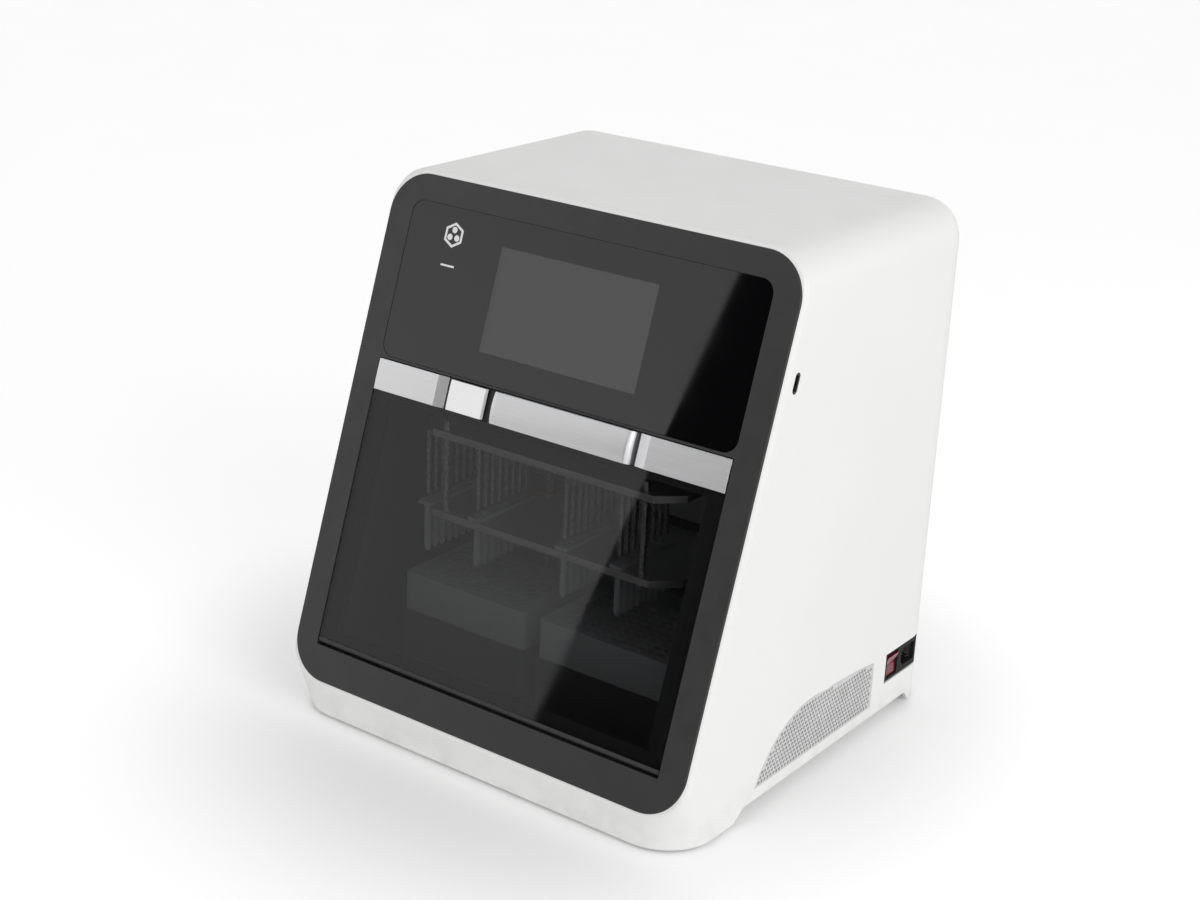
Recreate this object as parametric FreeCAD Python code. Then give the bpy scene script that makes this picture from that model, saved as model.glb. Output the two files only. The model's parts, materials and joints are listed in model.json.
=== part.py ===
import FreeCAD, Part
import math
import os

from FreeCAD import Placement, Rotation, Vector

# Benchtop thermal cycler workstation with a magnetic rod head.  Millimetres.
# Frame: +Z up, +X to the right of someone facing the door, the door side is -Y.
# Origin: on the table, in the middle of the footprint.

# ---- driving dimensions -------------------------------------------------------------------
BODY_W = 406.0            # cabinet width, X
BODY_D = 394.0            # cabinet depth, Y
BODY_H = 452.0            # cabinet height above the table, Z
TILT = 18.0               # lean of the front away from the vertical, degrees
WALL = 3.0                # cabinet wall

FOOT_H = 5.0              # rubber feet under the base tray
TRAY_FLOOR = 3.0          # base tray sheet
COVER_Z0 = 3.0            # lower edge of the cabinet cover
EDGE_R = 34.0             # rounding of the top and rear edges
FRONT_R = 6.0             # rounding of the slope's edges
RIM = 3.0                 # rim of the cover round the bezel
CHIN_IN = 4.0             # the chin leans in below the rim
CORNER_R = 39.0           # lower front corners where they meet the slope
CORNER_FOOT_R = 45.0      # lower front corners along the cover's lower edge
SIDE_RECESS = ((-122.0, 0.0), (-104.0, 12.0), (158.0, 12.0), (168.0, 0.0))   # (y, z) in both sides
TRAY_IN = 7.0             # the tray stands in from the cover's lower edge
TRAY_FRONT = 5.0          # the tray's front stands in from the chin's lower edge
TRAY_R = 54.0             # the tray's upright corners
TRAY_H = 15.0             # height of the tray's folded sides
TRAY_SHEET = 2.0
FOOT_R = 14.0
FOOT_X = 160.0            # feet from the middle of the footprint
FOOT_Y = 150.0

REAR_OPENING = (155.0, 26.0, 404.0)     # half width, lower and upper edge
REAR_REBATE = 4.0
REAR_PANEL_T = 1.8
SCREW_SHANK_R = 1.5       # countersunk screws of the rear panel
SCREW_HEAD_R = 3.1
SCREW_SOCKET_R = 1.2
SCREW_LEN = 9.0
SOCKET_HOLE = (60.0, 76.0, 90.0, 104.0)     # service socket in the rear panel: x0, x1, z0, z1
SOCKET_DEPTH = 20.0
BOSS_R = 4.0              # screw bosses inside the cover
BOSS_L = 9.0

PANEL_W = 399.4           # dark front bezel, across
PANEL_L = 435.4           # dark front bezel, up the slope
PANEL_R = 36.0            # bezel corner radius
PANEL_PROUD = 1.0         # bezel front above the slope plane
PANEL_DEPTH = 12.0        # bezel depth behind the slope plane
PANEL_Z0 = 34.0           # height of the slope plane's lower edge

GLASS_W = 352.0           # glass area inside the bezel
GLASS_V0 = 30.0           # lower edge of the glass area, up the slope
GLASS_V1 = 414.0          # upper edge of the glass area
DOOR_V1 = 279.0           # upper edge of the door opening
GLASS_T = 3.0             # glass thickness
GLASS_R = 12.0            # corners of the upper glass
SCREEN_W = 154.0          # visible screen of the touch display
SCREEN_V0 = 305.0
SCREEN_V1 = 391.0
DISPLAY_FACE = -2.6       # face of the display module, from the slope plane
DISPLAY_BACK = -6.0       # its metal can lies behind this
CAN_BACK = -12.0
BOARD_GAP = 8.0           # from the can to the display board
STRIP_V0 = 252.0          # silver strip along the top of the door
STRIP_V1 = 278.0
STRIP_PROUD = 0.8         # strip in front of the window
TRIM_LEFT = (-175.0, -101.0)    # x of the strip's pieces: trim, button, handle, trim
BUTTON_X = (-95.5, -59.5)
HANDLE_X = (-51.0, 88.0)
TRIM_RIGHT = (91.0, 175.0)
TRIM_RAMP = 10.0          # the trims slope down towards the handle over this length
TRIM_DROP = 2.2
HANDLE_PROUD = 4.5        # handle in front of the window
HANDLE_END_R = 5.0
BUTTON_BACK = -0.4        # rear face of the door button, from the slope plane
BUTTON_PROUD = 3.4
BUTTON_STEM_R = 4.0
STEM_END = -5.8

DOOR_GAP = 1.0            # gap round the door
DOOR_BACK = -8.5          # rear face of the door, from the slope plane
DOOR_FRONT = 0.5          # front face of the door
DOOR_RAIL = 16.0          # width of the door frame's rails
BEZEL_STOP = 5.0          # ledge behind the door's edge
HINGE_PIN_IN = 12.0       # pin length inside the door
HINGE_PIN_OUT = 6.0       # pin bore in the bezel
PIN_R = 1.4               # door hinge pin
MAGNET_R = 5.0
MAGNET_T = 3.0
MAGNET_IN = 9.0           # magnets from the door's side edges
MAGNET_DOWN = 10.0        # magnets below the strip's upper edge

FRAME_X = 186.0           # inner face of the two side frames
SHEET = 2.0               # side frames and chamber wall
DECK_Z = 44.0             # top of the deck plate
DECK_T = 4.0
CHAMBER_Y = 24.0          # front face of the chamber's rear wall
CHAMBER_TOP = 352.0
FRAME_FOOT_Y = -140.0     # front of the side frames' feet
FRAME_REAR_Y = 160.0
DECK_Y0 = -178.0          # front edge of the deck
BAY_HALF_X = 60.5         # window in the deck under each block
BAY_HALF_Y = 39.5

PITCH = 9.0               # well pitch of a 96-well plate
COLUMNS = 12
ROWS = 8
WELL_R = 3.7              # inside of a well
WELL_OUT_R = 4.3          # outside of a well
PLATE_W = 127.8           # deep-well plate, X
PLATE_D = 85.5            # deep-well plate, Y
PLATE_Z0 = 80.0           # foot of the plate's skirt
PLATE_Z1 = 120.0          # top of the plate
BAY_X = 72.0              # centre of each plate from the middle of the cabinet
BAY_Y = -78.0             # centre of both plates, front to back
HOUSING_HALF_X = 67.0     # surround of each block
HOUSING_HALF_Y = 46.0
PLATE_SHEET = 1.5         # wall of the plate's skirt

BLOCK_Z0 = 62.0           # heated aluminium block
BLOCK_Z1 = 82.0
BLOCK_HALF_X = 59.0
BLOCK_HALF_Y = 38.0
POCKET_DEPTH = 6.5        # well pockets in the block
PELTIER_T = 3.8
PELTIER_HALF = 20.0
PELTIER_X = 28.0          # two modules per block, from its middle
SINK_BASE = 5.0
SINK_Z0 = 22.0
SINK_FINS = 16
FIN_T = 1.6

HEAD_W = 260.0            # rod plate and sleeve carriage, X
HEAD_Y0 = -118.0
HEAD_Y1 = -10.0
SLEEVE_PLATE_Z = 177.0    # underside of the sleeve carriage plate
ROD_PLATE_Z = 248.0       # underside of the rod plate
HEAD_PLATE_T = 6.0
HEAD_CORNER = 19.0        # bevel of the head plates' front corners, clear of the door
ROD_R = 2.2               # magnet rod
ROD_TIP_Z = 191.0
SLEEVE_R = 3.2            # outside of a rod sleeve
SLEEVE_BORE = 2.7
SLEEVE_TIP_Z = 140.0
ACTIVE_COLUMNS = (0, 6)   # columns of each plate that the head serves at home

GUIDE_X = 118.0           # upright guide columns of the carriage
GUIDE_Y = -24.0
GUIDE_R = 4.0
RUN = 0.05                # running clearance, on the radius
RAIL_Y = 6.0              # cross rails of the gantry
RAIL_R = 5.0
RAIL_Z = (130.0, 280.0)
END_BLOCK = 13.0          # rail holders, along the rails
CROSS_BEARING_X = 95.0    # carriage's sliding blocks on the rails
SCREW_R = 4.0
GANTRY_SCREW_Z = 205.0
HEAD_SCREW_X = -60.0
ROD_SCREW_Y = -33.0
NUT_R = 6.0
CARRIAGE_W = 252.0
CARRIAGE_Z0 = 96.0
CARRIAGE_Z1 = 304.0
CARRIAGE_Y = (-8.0, -2.0) # back plate
BRIDGE_Y = -50.0          # front edge of the bridge
MOTOR = 35.0              # square stepper motor
MOTOR_L = 34.0
ROD_MOTOR_Z = 280.0       # mounting face of the rod motor
LIFT_PIN_X = 100.0        # front guide pins of the rod plate
LIFT_PIN_Y = -112.0
LIFT_PIN_R = 3.0
BEARING_R = 7.5           # sliding bearings on the guide columns
BEARING_L = 24.0

INLET_Y = 145.0           # power inlet module on the right wall
INLET_Z = 49.5
INLET_L = 56.0
INLET_H = 27.0
INLET_FLANGE_T = 3.3
INLET_BACK = 31.0         # depth of the inlet's body behind the wall's outside
MAINS_Y = (147.0, 170.0)  # mains socket
MAINS_HALF_H = 8.5
ROCKER_Y = 131.0
ROCKER_X = 194.0          # rocker pivot
ROCKER_W = 18.0
ROCKER_PIN_R = 2.0
ROCKER_LEAN = 7.0         # rocker's lean at each stop, degrees

PORT_Y = -75.0            # service port in the right wall
PORT_Z = 356.0
PORT_L = 17.0
PORT_W = 7.4

VENT_TIP_Y = -90.0        # side vents
VENT_REAR_Y = 95.0
VENT_Z0 = 22.0
VENT_Z1 = 70.0
VENT_PITCH = 4.4          # perforation
VENT_HOLE_R = 1.5

FAN_X = -90.0             # rear exhaust fan
FAN_Z = 300.0
FAN_SIZE = 80.0
FAN_T = 25.0
FAN_HUB_R = 16.0
FAN_PIN_R = 2.0
FAN_BLADES = 7

BLOWER = 51.0             # square blower under the deck
BLOWER_Y = -10.5
BLOWER_Z0 = 25.0
BLOWER_T = 15.0
BLOWER_SHEET = 1.5
BLOWER_PIN_R = 1.5
BLOWER_ROOM_R = 22.0
BLOWER_BLADES = 20

SUPPLY = (40.0, 140.0, 45.0, 175.0, 46.0)     # power supply: x0, x1, y0, y1, top
SUPPLY_SHEET = 1.2
BOARD_X = (-150.0, 10.0)  # main circuit board
BOARD_Z = (80.0, 260.0)
BOARD_T = 1.6
STANDOFF = 12.0
CABLE_R = 2.6

# ---- derived ------------------------------------------------------------------------------
SIN = math.sin(math.radians(TILT))
COS = math.cos(math.radians(TILT))
STAGGER = math.sqrt(3) / 2    # row spacing of a staggered hole grid, per unit of pitch
HALF_W = BODY_W / 2
FRONT_Y = -BODY_D / 2
BACK_Y = BODY_D / 2
PANEL_Y0 = FRONT_Y + PANEL_PROUD * COS
PANEL_TOP = 436.0         # slope length between the cover's lower and upper rims
TRAY_Z = FOOT_H + TRAY_FLOOR
ON_PANEL = Placement(Vector(0, PANEL_Y0, PANEL_Z0), Rotation(Vector(1, 0, 0), 90 - TILT))
HINGE_V = GLASS_V0 + DOOR_GAP + (DOOR_FRONT - DOOR_BACK) / 2
HINGE_N = (DOOR_FRONT + DOOR_BACK) / 2
BOARD_Y = CHAMBER_Y + SHEET + STANDOFF
SCREW_X = REAR_OPENING[0]
SCREW_SPOTS = [(x, z) for x in (-SCREW_X, 0.0, SCREW_X) for z in REAR_OPENING[1:]]
SCREW_SPOTS += [(x, sum(REAR_OPENING[1:]) / 2) for x in (-SCREW_X, SCREW_X)]
X_AXIS = Vector(1, 0, 0)
Y_AXIS = Vector(0, 1, 0)
Z_AXIS = Vector(0, 0, 1)


# ---- shape helpers ------------------------------------------------------------------------
def box(x0, x1, y0, y1, z0, z1):
    return Part.makeBox(x1 - x0, y1 - y0, z1 - z0, Vector(x0, y0, z0))


def rod(radius, start, direction, length):
    return Part.makeCylinder(radius, length, start, direction)


def tube(outer, inner, start, direction, length):
    return rod(outer, start, direction, length).cut(rod(inner, start, direction, length))


def face_with_holes(outline, holes):
    """Flat face bounded by a wire, with holes."""
    return Part.makeFace(Part.makeCompound([outline] + holes), "Part::FaceMakerBullseye")


def rounded_wire(x0, x1, y0, y1, radius, z=0.0):
    """Closed rounded rectangle in a plane of constant z."""
    corners = (
        (x1 - radius, y0 + radius, 270),
        (x1 - radius, y1 - radius, 0),
        (x0 + radius, y1 - radius, 90),
        (x0 + radius, y0 + radius, 180),
    )
    arcs = [Part.makeCircle(radius, Vector(cx, cy, z), Z_AXIS, a, a + 90) for cx, cy, a in corners]
    edges = []
    for arc, following in zip(arcs, arcs[1:] + arcs[:1]):
        end = arc.valueAt(arc.LastParameter)
        start = following.valueAt(following.FirstParameter)
        edges.append(arc)
        edges.append(Part.makeLine(end, start))
    return Part.Wire(edges)


def rounded_box(x0, x1, y0, y1, z0, z1, radius):
    """Box with its upright edges rounded."""
    return Part.Face(rounded_wire(x0, x1, y0, y1, radius, z0)).extrude(Vector(0, 0, z1 - z0))


def upright_plate(x0, x1, z0, z1, y0, y1, radius, holes=()):
    """Rounded plate across the cabinet, y0 to y1 thick; holes are (x, z, radius)."""
    outline = rounded_wire(x0, x1, z0, z1, radius, -y1)
    circles = [Part.Wire([Part.makeCircle(hole_r, Vector(x, z, -y1))]) for x, z, hole_r in holes]
    plate = face_with_holes(outline, circles).extrude(Vector(0, 0, y1 - y0))
    plate.rotate(Vector(0, 0, 0), X_AXIS, 90)
    return plate


def on_panel(shape):
    """Moves a shape from slope coordinates (x across, y up the slope, z outwards) to the cabinet."""
    placed = shape.copy()
    placed.Placement = ON_PANEL.multiply(placed.Placement)
    return placed


def side_face(points):
    """Face in the plane x = 0 from (y, z) points."""
    corners = [Vector(0, y, z) for y, z in points]
    return Part.Face(Part.makePolygon(corners + corners[:1]))


def side_prism(points, x0, x1):
    """Solid from (y, z) points between two x planes."""
    face = side_face(points)
    face.translate(Vector(x0, 0, 0))
    return face.extrude(Vector(x1 - x0, 0, 0))


def slope_point(v, n):
    """(y, z) of the point v up the slope and n outwards from it."""
    return PANEL_Y0 + v * SIN - n * COS, PANEL_Z0 + v * COS + n * SIN


def join(shapes):
    return shapes[0].multiFuse(shapes[1:]).removeSplitter()


def edges_where(shape, test):
    """Edges whose middle point passes the test."""
    found = []
    for edge in shape.Edges:
        middle = edge.valueAt((edge.FirstParameter + edge.LastParameter) / 2)
        if test(middle):
            found.append(edge)
    return found


def save(node, *solids):
    """Writes one node; several solids stay separate."""
    shape = solids[0] if len(solids) == 1 else Part.makeCompound(list(solids))
    shape.exportStep("parts/" + node + ".step")


def mirrored(shape):
    """The same shape on the other side of the cabinet."""
    return shape.mirror(Vector(0, 0, 0), X_AXIS)


def well_centres(columns=range(COLUMNS)):
    """(x, y) of the wells from the plate's centre."""
    centres = []
    for column in columns:
        for row in range(ROWS):
            x = (column - (COLUMNS - 1) / 2) * PITCH
            y = (row - (ROWS - 1) / 2) * PITCH
            centres.append((x, y))
    return centres


# ---- cabinet ------------------------------------------------------------------------------
def cover_outside():
    """Outer form of the cabinet cover, before it is hollowed."""
    low = slope_point(-RIM, 0)
    high_y = slope_point((BODY_H - PANEL_Z0) / COS, 0)[0]
    outline = [(low[0] + CHIN_IN, COVER_Z0), low, (high_y, BODY_H), (BACK_Y, BODY_H), (BACK_Y, COVER_Z0)]
    body = side_prism(outline, -HALF_W, HALF_W)
    at_side = HALF_W - 1
    soft = edges_where(body, lambda p: p.y > BACK_Y - 1 and abs(p.x) > at_side)
    soft += edges_where(body, lambda p: p.z > BODY_H - 1 and abs(p.x) > at_side)
    soft += edges_where(body, lambda p: p.y > BACK_Y - 1 and p.z > BODY_H - 1)
    body = body.makeFillet(EDGE_R, soft)
    slope_edges = edges_where(body, lambda p: p.z > BODY_H - 1 and p.y < high_y + 1)
    slope_edges += edges_where(body, lambda p: abs(p.x) > at_side and p.y < high_y and COVER_Z0 + 20 < p.z)
    return cut_corners(body.makeFillet(FRONT_R, slope_edges), 0)


def corner_outside(centre_x, centre_y, radius, reach, height):
    """Closed wire of a quarter circle and the square beyond it, at a height."""
    arc = Part.makeCircle(radius, Vector(centre_x, centre_y, height), Z_AXIS, 270, 360)
    x_far = centre_x + radius + reach
    y_far = centre_y - radius - reach
    square = Part.makePolygon([
        Vector(centre_x + radius, centre_y, height),
        Vector(x_far, centre_y, height),
        Vector(x_far, y_far, height),
        Vector(centre_x, y_far, height),
        Vector(centre_x, centre_y - radius, height),
    ])
    return Part.Wire([arc] + square.Edges)


def lower_corner_cut(inset):
    """What lies outside the lower right corner, from the slope down to the cover's lower edge."""
    reach = 18.0
    foot_y = slope_point(-RIM, 0)[0] + CHIN_IN + CORNER_FOOT_R
    rim_x = HALF_W - CORNER_R
    rim_v = CORNER_R - RIM
    foot_x = HALF_W - CORNER_FOOT_R
    sections = [on_panel(corner_outside(rim_x, rim_v, CORNER_R - inset, reach, n)) for n in (5.0, 0.0)]
    for z in (COVER_Z0, COVER_Z0 - 2):
        sections.append(corner_outside(foot_x, foot_y, CORNER_FOOT_R - inset, reach, z))
    return Part.makeLoft(sections, True, True)


def cut_corners(shape, inset):
    cutter = lower_corner_cut(inset)
    return shape.cut(cutter).cut(mirrored(cutter))


def cover_inside():
    """Room inside the cover, open at the front and underneath."""
    x_in = HALF_W - WALL
    back = BACK_Y - WALL
    top = BODY_H - WALL
    low_front = slope_point(0, 20)
    low_back = slope_point(0, -RIM)
    high_y = slope_point((top - PANEL_Z0) / COS, 20)[0]
    outline = [
        (low_back[0] + CHIN_IN, COVER_Z0 - 1),
        low_back,
        low_front,
        (high_y, top),
        (back, top),
        (back, COVER_Z0 - 1),
    ]
    room = side_prism(outline, -x_in, x_in)
    at_side = x_in - 1
    soft = edges_where(room, lambda p: p.y > back - 1 and abs(p.x) > at_side)
    soft += edges_where(room, lambda p: p.z > top - 1 and abs(p.x) > at_side)
    soft += edges_where(room, lambda p: p.y > back - 1 and p.z > top - 1)
    return cut_corners(room.makeFillet(EDGE_R - WALL, soft), WALL)


def bezel_outline(gap):
    """Wire of the bezel's outside, grown by gap, in slope coordinates."""
    half = PANEL_W / 2 + gap
    v0 = (PANEL_TOP - PANEL_L) / 2
    return rounded_wire(-half, half, v0 - gap, v0 + PANEL_L + gap, PANEL_R + gap)


def front_rim(outside):
    """Rim of the cover round the bezel."""
    outer = rounded_wire(-HALF_W - 5, HALF_W + 5, -RIM, PANEL_TOP + 2 * RIM, 1.0)
    ring = face_with_holes(outer, [bezel_outline(0.2)])
    ring.translate(Vector(0, 0, -RIM))
    return on_panel(ring.extrude(Vector(0, 0, RIM + 5))).common(outside)


def vent_wire(x):
    """Fin-shaped vent outline at the plane x, pointed at the front."""
    tip = Vector(x, VENT_TIP_Y, VENT_Z0)
    shoulder = Vector(x, VENT_TIP_Y + 34, VENT_Z1 - 12)
    crown = Vector(x, VENT_TIP_Y + 100, VENT_Z1)
    rear_mid = Vector(x, VENT_REAR_Y - 40, VENT_Z1 - 1.5)
    rear_top = Vector(x, VENT_REAR_Y, VENT_Z1 - 6)
    rear_low = Vector(x, VENT_REAR_Y, VENT_Z0)
    nose = Part.Arc(tip, shoulder, crown).toShape()
    back = Part.Arc(crown, rear_mid, rear_top).toShape()
    return Part.Wire([nose, back, Part.makeLine(rear_top, rear_low), Part.makeLine(rear_low, tip)])


def vent_opening(x0, x1):
    return Part.Face(vent_wire(x0)).extrude(Vector(x1 - x0, 0, 0))


def vent_holes(room):
    """Centres of the vent's perforation, on a staggered grid."""
    centres = []
    rows = int((VENT_Z1 - VENT_Z0) / (VENT_PITCH * STAGGER))
    for row in range(rows):
        z = VENT_Z0 + 3 + row * VENT_PITCH * STAGGER
        shift = VENT_PITCH / 2 * (row % 2)
        for step in range(int((VENT_REAR_Y - VENT_TIP_Y) / VENT_PITCH)):
            y = VENT_TIP_Y + 2 + shift + step * VENT_PITCH
            if room.isInside(Vector(room.BoundBox.XMin, y, z), 0.01, True):
                centres.append((y, z))
    return centres


def side_vent():
    """Perforated insert of the right wall, flush outside, with a flange behind the wall."""
    fit = 0.25
    margin = 3.0
    flange_t = 1.4
    x_in = HALF_W - WALL
    outline = vent_wire(x_in).makeOffset2D(-fit)
    room = Part.Face(vent_wire(x_in).makeOffset2D(-margin))
    holes = []
    for y, z in vent_holes(room):
        holes.append(Part.Wire([Part.makeCircle(VENT_HOLE_R, Vector(x_in, y, z), X_AXIS)]))
    insert = face_with_holes(outline, holes).extrude(Vector(WALL, 0, 0))
    flange = vent_wire(x_in).makeOffset2D(margin)
    ring = face_with_holes(flange, [vent_wire(x_in).makeOffset2D(-1.0)])
    return insert.fuse(ring.extrude(Vector(-flange_t, 0, 0)))


def obround_on_side(length, width, x0, x1, y, z):
    """Slot-shaped solid on the right wall, its long axis parallel to the slope."""
    half = (length - width) / 2
    body = box(x0, x1, -width / 2, width / 2, -half, half)
    ends = [rod(width / 2, Vector(x0, 0, s * half), X_AXIS, x1 - x0) for s in (-1, 1)]
    slot = join([body] + ends)
    slot.rotate(Vector(0, 0, 0), X_AXIS, -TILT)
    slot.translate(Vector(0, y, z))
    return slot


def countersunk(clear):
    """Countersunk screw at the origin, its head facing +Y; clear widens it into its hole."""
    radius = SCREW_SHANK_R + clear
    head_h = SCREW_HEAD_R - SCREW_SHANK_R
    head = Part.makeCone(radius, SCREW_HEAD_R + clear, head_h, Vector(0, -head_h, 0), Y_AXIS)
    return head.fuse(rod(radius, Vector(0, -SCREW_LEN, 0), Y_AXIS, SCREW_LEN - head_h))


def hex_socket():
    """Drive recess of a screw head at the origin."""
    depth = 0.9
    corners = [Vector(math.cos(a), 0, math.sin(a)) for a in (math.radians(60 * k) for k in range(7))]
    outline = Part.makePolygon([corner * SCREW_SOCKET_R for corner in corners])
    return Part.Face(outline).extrude(Vector(0, -depth, 0))


def placed_screws(screw):
    return [screw.translated(Vector(x, BACK_Y - 0.2, z)) for x, z in SCREW_SPOTS]


def cover_screws():
    return placed_screws(countersunk(0).cut(hex_socket()))


def screw_holes():
    return placed_screws(countersunk(0.1))


def rear_outline(grow, y0, y1, holes=()):
    half, z0, z1 = REAR_OPENING
    return upright_plate(-half - grow, half + grow, z0 - grow, z1 + grow, y0, y1, 8, holes)


def rear_reinforcement():
    """Frame behind the rear opening's edge, with a boss for every screw."""
    half, z0, z1 = REAR_OPENING
    width = 9.0
    frame = box(-half - width, half + width, BACK_Y - WALL - 1, BACK_Y - 1, z0 - 8, z1 + width)
    bosses = [rod(BOSS_R, Vector(x, BACK_Y - BOSS_L - 2, z), Y_AXIS, BOSS_L) for x, z in SCREW_SPOTS]
    return [frame] + bosses


def cover_openings():
    """Everything that is cut out of the cover's walls."""
    behind = HALF_W - 10
    beyond = HALF_W + 5
    recess = side_prism(SIDE_RECESS, HALF_W - WALL - 1, beyond)
    vent = vent_opening(behind, beyond)
    port = obround_on_side(PORT_L, PORT_W, behind, beyond, PORT_Y, PORT_Z)
    rebate = rear_outline(REAR_REBATE, BACK_Y - 2, BACK_Y + 5)
    opening = rear_outline(-REAR_REBATE - 1, BACK_Y - 20, BACK_Y + 5)
    sides = [vent, mirrored(vent), recess, mirrored(recess), port, inlet_opening()]
    return [rebate, opening] + sides + screw_holes()


def outer_cover():
    outside = cover_outside()
    shell = outside.cut(cover_inside()).fuse(front_rim(outside))
    shell = shell.multiFuse(rear_reinforcement())
    for opening in cover_openings():
        shell = shell.cut(opening)
    return shell


def fan_grille_holes():
    """(x, z, radius) of the holes in front of the exhaust fan."""
    holes = []
    pitch = 7.0
    hole_r = 2.6
    margin = 4.0
    for row in range(-6, 7):
        for step in range(-6, 7):
            x = (step + (row % 2) / 2) * pitch
            z = row * pitch * STAGGER
            if math.hypot(x, z) < FAN_SIZE / 2 - margin:
                holes.append((FAN_X + x, FAN_Z + z, hole_r))
    return holes


def rear_panel():
    """Removable sheet at the back, with the fan grille, a service socket and screw holes."""
    holes = fan_grille_holes()
    y0 = BACK_Y - 2
    y1 = y0 + REAR_PANEL_T
    panel = rear_outline(REAR_REBATE - 0.3, y0, y1, holes)
    x0, x1, z0, z1 = SOCKET_HOLE
    panel = panel.cut(box(x0, x1, y0 - 1, y1 + 1, z0, z1))
    for hole in screw_holes():
        panel = panel.cut(hole)
    return panel


def network_socket():
    """Service socket behind the rear panel."""
    x0, x1, z0, z1 = SOCKET_HOLE
    fit = 0.2
    lip = 2.0
    mouth = SOCKET_DEPTH - 6
    body = box(x0 + fit, x1 - fit, BACK_Y - SOCKET_DEPTH, BACK_Y - 0.6, z0 + fit, z1 - fit)
    return body.cut(box(x0 + lip, x1 - lip, BACK_Y - mouth, BACK_Y, z0 + lip, z1 - lip - 1))


def base_tray():
    """Folded tray that closes the cabinet underneath."""
    x_out = HALF_W - TRAY_IN
    y0 = slope_point(-RIM, 0)[0] + CHIN_IN + TRAY_FRONT
    y1 = BACK_Y - TRAY_IN
    x_in = x_out - TRAY_SHEET
    top = FOOT_H + TRAY_H
    outer = rounded_box(-x_out, x_out, y0, y1, FOOT_H, top, TRAY_R)
    inner = rounded_box(-x_in, x_in, y0 + TRAY_SHEET, y1 - TRAY_SHEET, TRAY_Z, top + 1, TRAY_R - TRAY_SHEET)
    return outer.cut(inner)


def rubber_feet():
    feet = []
    for x in (-FOOT_X, FOOT_X):
        for y in (-FOOT_Y, FOOT_Y):
            foot = rod(FOOT_R, Vector(x, y, 0), Z_AXIS, FOOT_H)
            foot = foot.makeChamfer(1.2, edges_where(foot, lambda p: p.z < 0.1))
            feet.append(foot)
    return feet


# ---- front ----------------------------------------------------------------------------------
def bezel_cuts():
    """Rebate for the upper glass, display window, door opening with a ledge, hinge bores."""
    half = GLASS_W / 2
    rim = 8.0
    before = 5.0
    behind = -PANEL_DEPTH - 8
    glass_floor = DOOR_FRONT - GLASS_T
    glass_v0 = DOOR_V1 + 2
    door_floor = DOOR_BACK - 0.5
    screen_half = SCREEN_W / 2 + 2
    pin_start = Vector(-half - HINGE_PIN_OUT, HINGE_V, HINGE_N)
    return [
        rounded_box(-half, half, glass_v0, GLASS_V1, glass_floor, before, GLASS_R),
        rounded_box(-half + rim, half - rim, glass_v0 + rim, GLASS_V1 - rim, behind, DISPLAY_BACK, 6),
        box(-screen_half, screen_half, SCREEN_V0 - 2, SCREEN_V1 + 2, behind, before),
        rounded_box(-half, half, GLASS_V0, DOOR_V1, door_floor, before, 1.5),
        box(-half + BEZEL_STOP, half - BEZEL_STOP, GLASS_V0, DOOR_V1 - BEZEL_STOP, behind, 0),
        rod(PIN_R + RUN, pin_start, X_AXIS, 2 * half + 2 * HINGE_PIN_OUT),
    ]


def front_bezel():
    """Moulded dark frame round the upper glass and the door."""
    plate = Part.Face(bezel_outline(0)).extrude(Vector(0, 0, PANEL_DEPTH + PANEL_PROUD))
    plate.translate(Vector(0, 0, -PANEL_DEPTH))
    front_edges = edges_where(plate, lambda p: p.z > PANEL_PROUD - 0.01)
    plate = plate.makeFillet(0.9 * PANEL_PROUD, front_edges)
    for cut in bezel_cuts():
        plate = plate.cut(cut)
    return on_panel(plate)


def upper_glass():
    fit = 0.3
    half = GLASS_W / 2 - fit
    v0 = DOOR_V1 + 2 + fit
    v1 = GLASS_V1 - fit
    return on_panel(rounded_box(-half, half, v0, v1, DOOR_FRONT - GLASS_T, DOOR_FRONT, GLASS_R - fit))


def touch_display():
    """Seven-inch display module, its face in the bezel's window, its metal can behind."""
    border = 1.6
    lip = 6.0
    half = SCREEN_W / 2
    face_v = (SCREEN_V0 - border, SCREEN_V1 + border)
    face = box(-half - border, half + border, *face_v, DISPLAY_BACK, DISPLAY_FACE)
    can_v0 = SCREEN_V0 - lip - 2
    can = rounded_box(-half - lip, half + lip, can_v0, SCREEN_V1 + lip, CAN_BACK, DISPLAY_BACK, 2)
    return on_panel(face.fuse(can))


def display_board():
    """Circuit board on four spacers behind the display."""
    v_mid = (SCREEN_V0 + SCREEN_V1) / 2
    half_x = 70.0
    half_v = 38.0
    inset = 6.0
    front = CAN_BACK - BOARD_GAP
    board = rounded_box(-half_x, half_x, v_mid - half_v, v_mid + half_v, front - BOARD_T, front, 3)
    spacers = []
    for x in (-half_x + inset, half_x - inset):
        for v in (v_mid - half_v + inset, v_mid + half_v - inset):
            spacers.append(rod(3, Vector(x, v, front), Z_AXIS, BOARD_GAP))
    return on_panel(board.multiFuse(spacers))


def door_blank():
    """Door's frame before it is opened: flat body and round lower edge, stepped for the pane."""
    half = GLASS_W / 2 - DOOR_GAP
    v1 = DOOR_V1 - DOOR_GAP
    seat = DOOR_FRONT - GLASS_T
    radius = (DOOR_FRONT - DOOR_BACK) / 2
    step = box(-half - 1, half + 1, HINGE_V + 1, v1, seat, seat + 2 * GLASS_T)
    edge = rod(radius, Vector(-half, HINGE_V, HINGE_N), X_AXIS, 2 * half).cut(step)
    return box(-half, half, HINGE_V, v1, DOOR_BACK, seat).fuse(edge).cut(step)


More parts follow.
